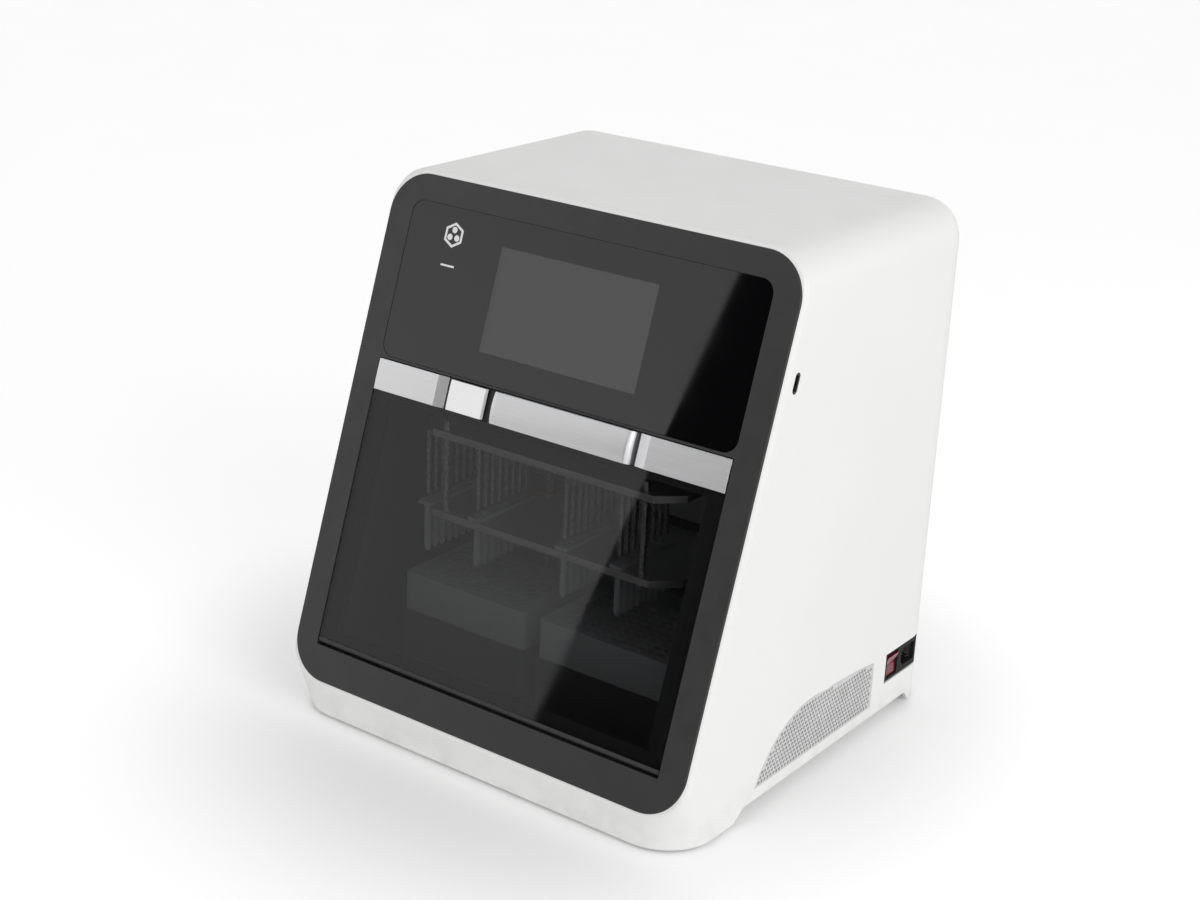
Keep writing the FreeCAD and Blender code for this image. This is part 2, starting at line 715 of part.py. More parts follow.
def door_frame():
    """Door's moulded frame: open for the window, with hinge bores, magnet seats and a stem hole."""
    half = GLASS_W / 2 - DOOR_GAP
    v0 = GLASS_V0 + DOOR_GAP + DOOR_RAIL
    frame = door_blank()
    frame = frame.cut(box(-half + DOOR_RAIL, half - DOOR_RAIL, v0, STRIP_V0 - 6, DOOR_BACK - 1, 5))
    frame = frame.cut(button_stem(BUTTON_STEM_R + RUN, DOOR_BACK - 1, 5))
    for sign in (-1, 1):
        start = Vector(sign * half, HINGE_V, HINGE_N)
        frame = frame.cut(rod(PIN_R, start, Vector(-sign, 0, 0), HINGE_PIN_IN))
        frame = frame.cut(rod(MAGNET_R + RUN, magnet_seat(sign), Z_AXIS, MAGNET_T))
    return on_panel(frame.removeSplitter())


def magnet_seat(sign):
    """Centre of a door magnet's rear face, in slope coordinates."""
    return Vector(sign * (GLASS_W / 2 - DOOR_GAP - MAGNET_IN), STRIP_V1 - MAGNET_DOWN, DOOR_BACK)


def door_window():
    half = GLASS_W / 2 - DOOR_GAP
    seat = DOOR_FRONT - GLASS_T
    return on_panel(box(-half, half, HINGE_V + 1.2, STRIP_V0 - 0.4, seat, DOOR_FRONT))


def strip_piece(span, proud, crown, back=DOOR_FRONT - GLASS_T, inset=0.0):
    """Piece of the silver strip over the x span; crown is how far its middle bulges."""
    x0, x1 = span
    v0 = STRIP_V0 + inset
    v1 = STRIP_V1 - inset
    front = DOOR_FRONT + proud
    corners = [Vector(x0, v1, front), Vector(x0, v1, back), Vector(x0, v0, back), Vector(x0, v0, front)]
    bow = Part.Arc(corners[3], Vector(x0, (v0 + v1) / 2, front + crown), corners[0]).toShape()
    rest = Part.makePolygon(corners)
    return Part.Face(Part.Wire([bow] + rest.Edges)).extrude(Vector(x1 - x0, 0, 0))


def ramp_cut(x_end, into):
    """Wedge that slopes a trim's end down; into is +1 or -1, the way from the end into the trim."""
    top = DOOR_FRONT + STRIP_PROUD + 1
    low = top - 1 - TRIM_DROP
    start = x_end + into * TRIM_RAMP
    slope = Part.makePolygon([
        Vector(x_end - into, STRIP_V0 - 1, low - TRIM_DROP / TRIM_RAMP),
        Vector(start, STRIP_V0 - 1, top - 1),
        Vector(start, STRIP_V0 - 1, top),
        Vector(x_end - into, STRIP_V0 - 1, top),
        Vector(x_end - into, STRIP_V0 - 1, low - TRIM_DROP / TRIM_RAMP),
    ])
    return Part.Face(slope).extrude(Vector(0, STRIP_V1 - STRIP_V0 + 2, 0))


def door_trim_strips():
    crown = 0.3
    left = strip_piece(TRIM_LEFT, STRIP_PROUD, crown).cut(ramp_cut(TRIM_LEFT[1], -1))
    right = strip_piece(TRIM_RIGHT, STRIP_PROUD, crown).cut(ramp_cut(TRIM_RIGHT[0], 1))
    return [on_panel(left), on_panel(right)]


def door_handle():
    """Handle bar with rounded ends and a finger groove along its upper edge."""
    x0, x1 = HANDLE_X
    crown = 1.5
    bar = strip_piece(HANDLE_X, HANDLE_PROUD, crown)
    ends = edges_where(bar, lambda p: p.z > HANDLE_PROUD and min(abs(p.x - x0), abs(p.x - x1)) < 0.1)
    bar = bar.makeFillet(HANDLE_END_R, ends)
    margin = 8.0
    lip = 9.0
    depth = 3.0
    groove = box(x0 + margin, x1 - margin, STRIP_V1 - lip, STRIP_V1 + 1, DOOR_FRONT, DOOR_FRONT + depth)
    return on_panel(bar.cut(groove))


def button_stem(radius, n0, n1):
    v_mid = (STRIP_V0 + STRIP_V1) / 2
    return rod(radius, Vector(sum(BUTTON_X) / 2, v_mid, n0), Z_AXIS, n1 - n0)


def door_button():
    """Square push button of the door lock; its stem slides in the door frame."""
    crown = 0.4
    gap = 0.5
    x_mid = sum(BUTTON_X) / 2
    near_end = (BUTTON_X[1] - BUTTON_X[0]) / 2 - 1
    cap = strip_piece(BUTTON_X, BUTTON_PROUD, crown, BUTTON_BACK, gap)
    ends = edges_where(cap, lambda p: p.z > BUTTON_PROUD and abs(p.x - x_mid) > near_end)
    cap = cap.makeFillet(1.0, ends)
    return on_panel(cap.fuse(button_stem(BUTTON_STEM_R, STEM_END, BUTTON_BACK)))


def door_hinge_pins():
    """Two pins, each pressed into the door and running in the bezel."""
    outer_end = GLASS_W / 2 + HINGE_PIN_OUT - 0.5
    length = HINGE_PIN_IN + HINGE_PIN_OUT - 0.5
    pins = []
    for sign in (-1, 1):
        start = Vector(sign * outer_end, HINGE_V, HINGE_N)
        pins.append(on_panel(rod(PIN_R, start, Vector(-sign, 0, 0), length)))
    return pins


def door_magnets():
    return [on_panel(rod(MAGNET_R, magnet_seat(sign), Z_AXIS, MAGNET_T)) for sign in (-1, 1)]


# ---- frame, deck and plates -------------------------------------------------------------------
def side_frame():
    """Right side frame of folded sheet, its front edge parallel to the slope."""
    low = slope_point(11, -PANEL_DEPTH - 1)
    high = slope_point(410, -PANEL_DEPTH - 1)
    front = FRAME_FOOT_Y
    back = FRAME_REAR_Y
    outline = [(front, TRAY_Z), (front, DECK_Z - DECK_T), low, high, (back, high[1]), (back, TRAY_Z)]
    plate = side_prism(outline, FRAME_X, FRAME_X + SHEET)
    plate = plate.fuse(box(FRAME_X - 14, FRAME_X, front, 100, TRAY_Z, TRAY_Z + SHEET))
    windows = (
        (-85, 90, 14, 38),
        (50, back, 110, 380),
        (INLET_Y - 32, INLET_Y + 32, INLET_Z - 20, INLET_Z + 20),
    )
    for y0, y1, z0, z1 in windows:
        plate = plate.cut(box(FRAME_X - 1, FRAME_X + SHEET + 1, y0, y1, z0, z1))
    return plate


def chamber_back_wall():
    return box(-FRAME_X, FRAME_X, CHAMBER_Y, CHAMBER_Y + SHEET, DECK_Z, CHAMBER_TOP)


def deck_plate():
    """Deck with a window under each heated block."""
    deck = box(-FRAME_X, FRAME_X, DECK_Y0, CHAMBER_Y + SHEET, DECK_Z - DECK_T, DECK_Z)
    for x in (-BAY_X, BAY_X):
        deck = deck.cut(bay_box(x, BAY_HALF_X, BAY_HALF_Y, DECK_Z - DECK_T - 1, DECK_Z + 1))
    return deck


def bay_box(x, half_x, half_y, z0, z1):
    """Box centred on a bay."""
    return box(x - half_x, x + half_x, BAY_Y - half_y, BAY_Y + half_y, z0, z1)


def bay_rounded(half_x, half_y, z0, z1, radius):
    """Rounded box centred on the right bay."""
    return rounded_box(BAY_X - half_x, BAY_X + half_x, BAY_Y - half_y, BAY_Y + half_y, z0, z1, radius)


def block_housing():
    """Surround of the right block: a nest for the plate's skirt over a ledge."""
    nest_depth = 6.0
    fit = 0.4
    top = PLATE_Z0 + nest_depth
    outer = bay_rounded(HOUSING_HALF_X, HOUSING_HALF_Y, DECK_Z, top, 6)
    nest = bay_rounded(PLATE_W / 2 + fit, PLATE_D / 2 + fit, PLATE_Z0, top + 3, 3)
    well = bay_rounded(BAY_HALF_X, BAY_HALF_Y, DECK_Z - 1, PLATE_Z0 + 1, 2)
    return outer.cut(nest).cut(well)


def heated_block():
    """Aluminium block of the right bay, with a pocket for every well."""
    fit = 0.12
    block = bay_rounded(BLOCK_HALF_X, BLOCK_HALF_Y, BLOCK_Z0, BLOCK_Z1, 2)
    floor = BLOCK_Z1 - POCKET_DEPTH
    pockets = []
    for dx, dy in well_centres():
        foot = Vector(BAY_X + dx, BAY_Y + dy, floor)
        pockets.append(rod(WELL_OUT_R + fit, foot, Z_AXIS, POCKET_DEPTH + 1))
    return block.cut(Part.makeCompound(pockets))


def peltier_modules():
    """Two modules under each block."""
    centres = [bay + dx for bay in (-BAY_X, BAY_X) for dx in (-PELTIER_X, PELTIER_X)]
    return [bay_box(x, PELTIER_HALF, PELTIER_HALF, BLOCK_Z0 - PELTIER_T, BLOCK_Z0) for x in centres]


def heat_sink(x):
    """Finned sink under a bay."""
    top = BLOCK_Z0 - PELTIER_T
    shapes = [bay_box(x, BLOCK_HALF_X, BLOCK_HALF_Y, top - SINK_BASE, top)]
    first = x - BLOCK_HALF_X + 2
    step = (2 * BLOCK_HALF_X - 4 - FIN_T) / (SINK_FINS - 1)
    for fin in range(SINK_FINS):
        middle = first + fin * step + FIN_T / 2
        shapes.append(bay_box(middle, FIN_T / 2, BLOCK_HALF_Y, SINK_Z0, top - SINK_BASE))
    return join(shapes)


def deep_well_plate():
    """96-well deep-well plate of the right bay."""
    slab_z = PLATE_Z1 - 3
    in_x = PLATE_W / 2 - PLATE_SHEET
    in_y = PLATE_D / 2 - PLATE_SHEET
    shell = bay_rounded(PLATE_W / 2, PLATE_D / 2, PLATE_Z0, PLATE_Z1, 3)
    plate = shell.cut(bay_rounded(in_x, in_y, PLATE_Z0 - 1, slab_z, PLATE_SHEET))
    well_z = BLOCK_Z1 - POCKET_DEPTH + 0.5
    walls = []
    bores = []
    for dx, dy in well_centres():
        foot = Vector(BAY_X + dx, BAY_Y + dy, well_z)
        walls.append(rod(WELL_OUT_R, foot, Z_AXIS, slab_z + 1 - well_z))
        bores.append(rod(WELL_R, foot + Vector(0, 0, PLATE_SHEET), Z_AXIS, PLATE_Z1))
    return plate.multiFuse(walls).cut(Part.makeCompound(bores))


# ---- power, electronics, fans -----------------------------------------------------------------
def inlet_box(x0, x1, half_l, half_h):
    """Box centred on the power inlet, between two x planes measured from the wall's outside."""
    y0 = INLET_Y - half_l
    y1 = INLET_Y + half_l
    return box(HALF_W + x0, HALF_W + x1, y0, y1, INLET_Z - half_h, INLET_Z + half_h)


def inlet_opening():
    fit = 0.3
    return inlet_box(-10, 5, INLET_L / 2 + fit, INLET_H / 2 + fit)


def mains_opening():
    """Socket opening with two bevelled corners."""
    bevel = 4.0
    y0, y1 = MAINS_Y
    low = INLET_Z - MAINS_HALF_H
    high = INLET_Z + MAINS_HALF_H
    opening = box(HALF_W - 17, HALF_W + 7, y0, y1, low, high)
    corners = edges_where(opening, lambda p: min(abs(p.z - low), abs(p.z - high)) < 0.1 and p.y < y0 + 0.1)
    return opening.makeChamfer(bevel, corners)


def power_inlet():
    """Inlet module: flange in the wall, rocker opening in front, mains socket behind."""
    sunk = 1.2
    behind = -sunk - INLET_FLANGE_T
    module = inlet_box(behind, -sunk, INLET_L / 2, INLET_H / 2)
    module = module.fuse(inlet_box(-INLET_BACK, behind, INLET_L / 2 - 4, 12))
    half_w = ROCKER_W / 2 + 0.4
    window = box(HALF_W - 15, HALF_W + 7, ROCKER_Y - half_w, ROCKER_Y + half_w, INLET_Z - 11, INLET_Z + 11)
    half_pin = ROCKER_W / 2 + 1.5
    start = Vector(ROCKER_X, ROCKER_Y - half_pin, INLET_Z)
    trunnion = rod(ROCKER_PIN_R + RUN, start, Y_AXIS, 2 * half_pin)
    return module.cut(window).cut(mains_opening()).cut(trunnion)


def inlet_contacts():
    """Three flat pins of the mains socket."""
    pins = []
    for y, z in ((152.0, 0.0), (163.0, 5.0), (163.0, -5.0)):
        pins.append(box(HALF_W - 17, HALF_W - 4, y - 2.5, y + 2.5, INLET_Z + z - 1, INLET_Z + z + 1))
    return pins


def power_rocker():
    """Rocker with two pressing faces, resting with its lower half in."""
    half = ROCKER_W / 2
    half_pin = half + 1.2
    outline = [(7.6, 9.5), (6.0, 0.0), (7.6, -9.5), (0.0, -9.0), (-3.5, 0.0), (0.0, 9.0)]
    corners = [Vector(ROCKER_X + x, ROCKER_Y - half, INLET_Z + z) for x, z in outline]
    body = Part.Face(Part.makePolygon(corners + corners[:1])).extrude(Vector(0, ROCKER_W, 0))
    pin_start = Vector(ROCKER_X, ROCKER_Y - half_pin, INLET_Z)
    body = body.fuse(rod(ROCKER_PIN_R, pin_start, Y_AXIS, 2 * half_pin))
    body.rotate(Vector(ROCKER_X, 0, INLET_Z), Y_AXIS, ROCKER_LEAN)
    return body


def usb_port():
    """Service port insert in the right wall."""
    fit = 0.4
    half_w = 2.3
    half_l = 6.2
    x0 = HALF_W - 9
    insert = obround_on_side(PORT_L - fit, PORT_W - fit, x0, HALF_W - 0.3, PORT_Y, PORT_Z)
    recess = box(HALF_W - 6, HALF_W + 1, -half_w, half_w, -half_l, half_l)
    recess.rotate(Vector(0, 0, 0), X_AXIS, -TILT)
    recess.translate(Vector(0, PORT_Y, PORT_Z))
    return insert.cut(recess)


def power_supply():
    """Enclosed supply with ventilation slots in its lid."""
    x0, x1, y0, y1, top = SUPPLY
    t = SUPPLY_SHEET
    pitch = 9.5
    slot = 4.0
    margin = 16.0
    case = rounded_box(x0, x1, y0, y1, TRAY_Z, top, 2)
    case = case.cut(rounded_box(x0 + t, x1 - t, y0 + t, y1 - t, TRAY_Z + t, top - t, 1.5))
    for row in range(12):
        y = y0 + 10 + row * pitch
        case = case.cut(box(x0 + margin, x1 - margin, y, y + slot, top - 2, top + 1))
    return case


def control_board():
    """Main circuit board on four standoffs behind the chamber."""
    inset = 6.0
    x0, x1 = BOARD_X
    z0, z1 = BOARD_Z
    board = upright_plate(x0, x1, z0, z1, BOARD_Y, BOARD_Y + BOARD_T, 3)
    standoffs = []
    for x in (x0 + inset, x1 - inset):
        for z in (z0 + inset, z1 - inset):
            standoffs.append(rod(3, Vector(x, BOARD_Y - STANDOFF, z), Y_AXIS, STANDOFF))
    return board.multiFuse(standoffs)


def board_components():
    """Driver heat sinks, capacitors, connectors and the controller, each its own solid."""
    face = BOARD_Y + BOARD_T
    x0, x1 = BOARD_X
    z0, z1 = BOARD_Z
    driver_x = [x0 + 12 + 26 * k for k in range(4)]
    drivers = [box(x, x + 18, face, face + 10, z1 - 44, z1 - 26) for x in driver_x]
    capacitors = [rod(5, Vector(x0 + 20 + 16 * k, face, z0 + 20), Y_AXIS, 14) for k in range(5)]
    connector_z = [z0 + 40 + 34 * k for k in range(3)]
    connectors = [box(x1 - 18, x1 - 6, face, face + 9, z, z + 24) for z in connector_z]
    controller = box(x0 + 50, x0 + 78, face, face + 2.5, z0 + 66, z0 + 94)
    return drivers + capacitors + connectors + [controller]


def wiring_harness():
    """Mains lead to the supply and the loom that climbs to the board."""
    runs = [
        [(168, 150, 50), (158, 162, 58), (130, 165, 66), (110, 160, 58), (105, 150, 49)],
        [(70, 120, 49), (60, 110, 90), (30, 80, 130), (6, 60, 132)],
        [(-60, 60, 175), (-70, 90, 260), (-84, 120, 300), (-88, 150, 322), (-90, 166, 332)],
    ]
    leads = []
    for points in runs:
        path = Part.BSplineCurve()
        path.interpolate([Vector(*p) for p in points])
        edge = path.toShape()
        ring = Part.Wire([Part.makeCircle(CABLE_R, Vector(*points[0]), path.tangent(0)[0])])
        leads.append(Part.Wire([edge]).makePipeShell([ring], True, False))
    return leads


def rear_fan_frame():
    """Square fan housing with a hub carried on three struts."""
    back = BACK_Y - 2
    y0 = back - FAN_T
    half = FAN_SIZE / 2
    strut_half = 2.0
    strut_t = 3.0
    frame = upright_plate(FAN_X - half, FAN_X + half, FAN_Z - half, FAN_Z + half, y0, back, 5)
    frame = frame.cut(rod(half - 2, Vector(FAN_X, y0 - 1, FAN_Z), Y_AXIS, FAN_T + 2))
    centre = Vector(FAN_X, y0, FAN_Z)
    shapes = [rod(FAN_HUB_R - 2, centre, Y_AXIS, 4), rod(FAN_PIN_R, centre, Y_AXIS, 16)]
    for turn in range(3):
        strut = box(FAN_X - strut_half, FAN_X + strut_half, y0, y0 + strut_t, FAN_Z, FAN_Z + half - 1)
        strut.rotate(centre, Y_AXIS, 120 * turn)
        shapes.append(strut)
    return frame.multiFuse(shapes)


def rear_fan_rotor():
    """Rotor with pitched blades, running on the housing's pin."""
    centre = Vector(FAN_X, BACK_Y - 2 - FAN_T + 5, FAN_Z)
    depth = 16.0
    pitch_angle = 38.0
    shapes = [rod(FAN_HUB_R, centre, Y_AXIS, depth)]
    for turn in range(FAN_BLADES):
        blade = box(FAN_HUB_R - 2, FAN_SIZE / 2 - 5, -9, 9, -0.8, 0.8)
        blade.rotate(Vector(0, 0, 0), X_AXIS, pitch_angle)
        blade.translate(centre + Vector(0, depth / 2, 0))
        blade.rotate(centre, Y_AXIS, 360 * turn / FAN_BLADES)
        shapes.append(blade)
    return join(shapes).cut(rod(FAN_PIN_R + RUN, centre, Y_AXIS, 12))


def blower_housing():
    """Right blower under the deck, its outlet facing the heat sink."""
    half = BLOWER / 2
    x = BAY_X
    t = BLOWER_SHEET
    top = BLOWER_Z0 + BLOWER_T
    intake_r = 15.0
    front = BLOWER_Y - half - 1
    case = rounded_box(x - half, x + half, BLOWER_Y - half, BLOWER_Y + half, BLOWER_Z0, top, 4)
    case = case.cut(rod(BLOWER_ROOM_R, Vector(x, BLOWER_Y, BLOWER_Z0 + t), Z_AXIS, BLOWER_T - 2 * t))
    case = case.cut(rod(intake_r, Vector(x, BLOWER_Y, BLOWER_Z0 - 1), Z_AXIS, 5))
    case = case.cut(box(x - BLOWER_ROOM_R, x + 6, front, BLOWER_Y, BLOWER_Z0 + t, top - t))
    return case.fuse(rod(BLOWER_PIN_R, Vector(x, BLOWER_Y, BLOWER_Z0 + 5), Z_AXIS, BLOWER_T - 6))


def blower_impeller():
    """Impeller of the right blower: hub, web and a ring of blades."""
    centre = Vector(BAY_X, BLOWER_Y, BLOWER_Z0 + 2.5)
    hub_r = 8.0
    web_r = 19.0
    web_z = 8.0
    shapes = [rod(hub_r, centre, Z_AXIS, 9), rod(web_r, centre + Vector(0, 0, web_z), Z_AXIS, 1.5)]
    for turn in range(BLOWER_BLADES):
        blade = box(web_r - 4.5, web_r - 0.5, -0.5, 0.5, 0, web_z + 0.5)
        blade.translate(centre)
        blade.rotate(centre, Z_AXIS, 360 * turn / BLOWER_BLADES)
        shapes.append(blade)
    return join(shapes).cut(rod(BLOWER_PIN_R + RUN, centre, Z_AXIS, 12))


# ---- gantry -----------------------------------------------------------------------------------
def gantry_rails():
    """Two cross rails between the side frames."""
    start_x = -FRAME_X + 0.2
    return [rod(RAIL_R, Vector(start_x, RAIL_Y, z), X_AXIS, -2 * start_x) for z in RAIL_Z]


def wall_block(x0, length, z_mid, half_h, bore_r):
    """Block on the chamber wall with a bore along the rails."""
    block = box(x0, x0 + length, RAIL_Y - 9, CHAMBER_Y, z_mid - half_h, z_mid + half_h)
    return block.cut(rod(bore_r, Vector(x0 - 1, RAIL_Y, z_mid), X_AXIS, length + 2))


def gantry_end_blocks():
    """Four rail holders on the chamber wall, and the far bearing of the gantry screw."""
    ends = (-FRAME_X, FRAME_X - END_BLOCK)
    blocks = [wall_block(x0, END_BLOCK, z, 11, RAIL_R) for x0 in ends for z in RAIL_Z]
    blocks.append(wall_block(FRAME_X - 8, 8, GANTRY_SCREW_Z, 10, SCREW_R + RUN))
    return blocks


def motor_body(length):
    """Square stepper motor on +Z, its mounting face at z = 0, the can below."""
    half = MOTOR / 2
    can = box(-half, half, -half, half, -length, 0)
    can = can.makeChamfer(3.0, edges_where(can, lambda p: abs(p.z + length / 2) < 0.1))
    return can.cut(rod(SCREW_R + 0.3, Vector(0, 0, -9), Z_AXIS, 10))


def gantry_motor():
    """Stepper motor of the cross travel, at the left end of the rails."""
    motor = motor_body(MOTOR_L)
    motor.rotate(Vector(0, 0, 0), Y_AXIS, 90)
    motor.translate(Vector(-FRAME_X + MOTOR_L + 1, RAIL_Y, GANTRY_SCREW_Z))
    return motor


def gantry_screw():
    x0 = -FRAME_X + MOTOR_L - 6
    return rod(SCREW_R, Vector(x0, RAIL_Y, GANTRY_SCREW_Z), X_AXIS, FRAME_X - 0.5 - x0)


def carriage_frame():
    """Gantry carriage: back plate, bridge over the head and lower bar that hold the guide columns."""
    half = CARRIAGE_W / 2
    y0, y1 = CARRIAGE_Y
    top = CARRIAGE_Z1 + 6
    frame = join([
        box(-half, half, y0, y1, CARRIAGE_Z0, top),
        box(-half, half, BRIDGE_Y, y0, CARRIAGE_Z1, top),
        box(-half, half, GUIDE_Y - 8, y0, CARRIAGE_Z0, CARRIAGE_Z0 + 8),
        box(-12, 12, y1, RAIL_Y + 8, GANTRY_SCREW_Z - 8, GANTRY_SCREW_Z + 8),
    ])
    frame = frame.cut(rod(SCREW_R + RUN, Vector(-20, RAIL_Y, GANTRY_SCREW_Z), X_AXIS, 40))
    frame = frame.cut(rod(SCREW_R + 0.3, Vector(HEAD_SCREW_X, GUIDE_Y, CARRIAGE_Z1 - 1), Z_AXIS, 8))
    window_x = 60.0
    window_half = 34.0
    for x in (-window_x, window_x):
        frame = frame.cut(box(x - window_half, x + window_half, y0 - 1, y1 + 1, 120, 190))
    return frame


def carriage_bearings():
    """Four sliding blocks of the carriage on the cross rails."""
    half_l = 14.0
    half_h = 10.0
    blocks = []
    for x in (-CROSS_BEARING_X, CROSS_BEARING_X):
        for z in RAIL_Z:
            block = box(x - half_l, x + half_l, CARRIAGE_Y[1], RAIL_Y + 9, z - half_h, z + half_h)
            bore = rod(RAIL_R + RUN, Vector(x - half_l - 1, RAIL_Y, z), X_AXIS, 2 * half_l + 2)
            blocks.append(block.cut(bore))
    return blocks


def guide_columns():
    z0 = CARRIAGE_Z0 + 8
    return [rod(GUIDE_R, Vector(s * GUIDE_X, GUIDE_Y, z0), Z_AXIS, CARRIAGE_Z1 - z0) for s in (-1, 1)]


def head_motor():
    """Stepper motor on the bridge, its screw a little in front of its middle."""
    motor = motor_body(MOTOR_L)
    motor.rotate(Vector(0, 0, 0), X_AXIS, 180)
    motor.translate(Vector(HEAD_SCREW_X, GUIDE_Y - 2, CARRIAGE_Z1 + 6))
    return motor.cut(rod(SCREW_R + 0.3, Vector(HEAD_SCREW_X, GUIDE_Y, CARRIAGE_Z1), Z_AXIS, 12))


def head_screw():
    z0 = CARRIAGE_Z0 + 9
    return rod(SCREW_R, Vector(HEAD_SCREW_X, GUIDE_Y, z0), Z_AXIS, CARRIAGE_Z1 + 12 - z0)


def rod_columns():
    """x of the four columns of rods."""
    columns = []
    for bay in (-BAY_X, BAY_X):
        for column in ACTIVE_COLUMNS:
            columns.append(bay + (column - (COLUMNS - 1) / 2) * PITCH)
    return columns


def row_ys():
    return [BAY_Y + (row - (ROWS - 1) / 2) * PITCH for row in range(ROWS)]


def head_plate(z0):
    """Blank of both head plates, its front corners bevelled."""
    half = HEAD_W / 2
    plate = box(-half, half, HEAD_Y0, HEAD_Y1, z0, z0 + HEAD_PLATE_T)
    corners = edges_where(plate, lambda p: p.y < HEAD_Y0 + 1 and abs(p.x) > half - 1)
    return plate.makeChamfer(HEAD_CORNER, corners)


def sleeve_carriage():
    """Lower head plate: a slot for each sleeve strip, bearing and nut holes."""
    below = SLEEVE_PLATE_Z - 1
    through = HEAD_PLATE_T + 4
    plate = head_plate(SLEEVE_PLATE_Z)
    for x in rod_columns():
        plate = plate.cut(box(x - 4.2, x + 4.2, BAY_Y - 36.2, BAY_Y + 36.2, below, below + through + 1))
    for sign in (-1, 1):
        plate = plate.cut(rod(BEARING_R, Vector(sign * GUIDE_X, GUIDE_Y, below), Z_AXIS, through))
        plate = plate.cut(rod(LIFT_PIN_R, Vector(sign * LIFT_PIN_X, LIFT_PIN_Y, below), Z_AXIS, through))
    return plate.cut(rod(NUT_R, Vector(HEAD_SCREW_X, GUIDE_Y, below), Z_AXIS, through))


def sleeve_strips():
    """Four strips of eight closed-end rod sleeves."""
    strips = []
    top = SLEEVE_PLATE_Z + HEAD_PLATE_T
    for x in rod_columns():
        shapes = [rounded_box(x - 6.5, x + 6.5, BAY_Y - 38, BAY_Y + 38, top, top + 2.5, 2)]
        bores = []
        for y in row_ys():
            shapes.append(rod(SLEEVE_R, Vector(x, y, SLEEVE_TIP_Z + 4), Z_AXIS, top - SLEEVE_TIP_Z - 3))
            shapes.append(Part.makeCone(1.6, SLEEVE_R, 4, Vector(x, y, SLEEVE_TIP_Z), Z_AXIS))
            bores.append(rod(SLEEVE_BORE, Vector(x, y, SLEEVE_TIP_Z + 3.6), Z_AXIS, 60))
        strips.append(join(shapes).cut(Part.makeCompound(bores)))
    return strips


def ball_bush(x, z_mid):
    return tube(BEARING_R, GUIDE_R + RUN, Vector(x, GUIDE_Y, z_mid - BEARING_L / 2), Z_AXIS, BEARING_L)


def head_bearings():
    z_mid = SLEEVE_PLATE_Z + HEAD_PLATE_T / 2
    return [ball_bush(-GUIDE_X, z_mid), ball_bush(GUIDE_X, z_mid)]


def flanged_nut(x, y, z_seat, length):
    """Nut with its flange on top of a plate at z_seat."""
    flange_t = 3.0
    body = rod(NUT_R, Vector(x, y, z_seat - length), Z_AXIS, length)
    flange = rod(NUT_R + 4, Vector(x, y, z_seat), Z_AXIS, flange_t)
    bore = rod(SCREW_R + RUN, Vector(x, y, z_seat - length - 1), Z_AXIS, length + flange_t + 2)
    return body.fuse(flange).cut(bore)


def head_nut():
    return flanged_nut(HEAD_SCREW_X, GUIDE_Y, SLEEVE_PLATE_Z + HEAD_PLATE_T, 15)


def lift_guide_pins():
    z0 = SLEEVE_PLATE_Z - 4
    z1 = ROD_PLATE_Z + 14
    return [rod(LIFT_PIN_R, Vector(s * LIFT_PIN_X, LIFT_PIN_Y, z0), Z_AXIS, z1 - z0) for s in (-1, 1)]


def rod_drive_bracket():
    """Upright bracket on the sleeve carriage that carries the rod motor."""
    half = 24.0
    y_web = -15.0
    y_shelf = -52.0
    z0 = SLEEVE_PLATE_Z + HEAD_PLATE_T
    web = box(-half, half, y_web, HEAD_Y1, z0, ROD_MOTOR_Z)
    shelf = box(-half, half, y_shelf, HEAD_Y1, ROD_MOTOR_Z - 4, ROD_MOTOR_Z)
    hole = rod(SCREW_R + 0.3, Vector(0, ROD_SCREW_Y, ROD_MOTOR_Z - 5), Z_AXIS, 6)
    return web.fuse(shelf).cut(hole)


def rod_motor():
    motor = motor_body(20)
    motor.rotate(Vector(0, 0, 0), X_AXIS, 180)
    motor.translate(Vector(0, ROD_SCREW_Y, ROD_MOTOR_Z))
    return motor


def rod_screw():
    z0 = SLEEVE_PLATE_Z + HEAD_PLATE_T + 4
    return rod(SCREW_R, Vector(0, ROD_SCREW_Y, z0), Z_AXIS, ROD_MOTOR_Z + 6 - z0)


def rod_plate():
    """Upper head plate that lifts the magnet rods."""
    below = ROD_PLATE_Z - 1
    through = HEAD_PLATE_T + 4
    plate = head_plate(ROD_PLATE_Z)
    plate = plate.cut(box(-26, 26, -17, HEAD_Y1 + 1, below, below + through + 1))
    for sign in (-1, 1):
        plate = plate.cut(rod(BEARING_R, Vector(sign * GUIDE_X, GUIDE_Y, below), Z_AXIS, through))
        pin_place = Vector(sign * LIFT_PIN_X, LIFT_PIN_Y, below)
        plate = plate.cut(rod(LIFT_PIN_R + RUN, pin_place, Z_AXIS, through))
    plate = plate.cut(rod(NUT_R + 2, Vector(HEAD_SCREW_X, GUIDE_Y, below), Z_AXIS, through))
    return plate.cut(rod(NUT_R, Vector(0, ROD_SCREW_Y, below), Z_AXIS, through))


def magnet_rods():
    rods = []
    for x in rod_columns():
        for y in row_ys():
            stem = rod(ROD_R, Vector(x, y, ROD_TIP_Z + 1), Z_AXIS, ROD_PLATE_Z - ROD_TIP_Z - 1)
            tip = Part.makeCone(ROD_R - 1, ROD_R, 1, Vector(x, y, ROD_TIP_Z), Z_AXIS)
            rods.append(stem.fuse(tip))
    return rods


def rod_plate_bearings():
    z_mid = ROD_PLATE_Z + HEAD_PLATE_T / 2
    return [ball_bush(-GUIDE_X, z_mid), ball_bush(GUIDE_X, z_mid)]


def rod_nut():
    return flanged_nut(0, ROD_SCREW_Y, ROD_PLATE_Z + HEAD_PLATE_T, 12)


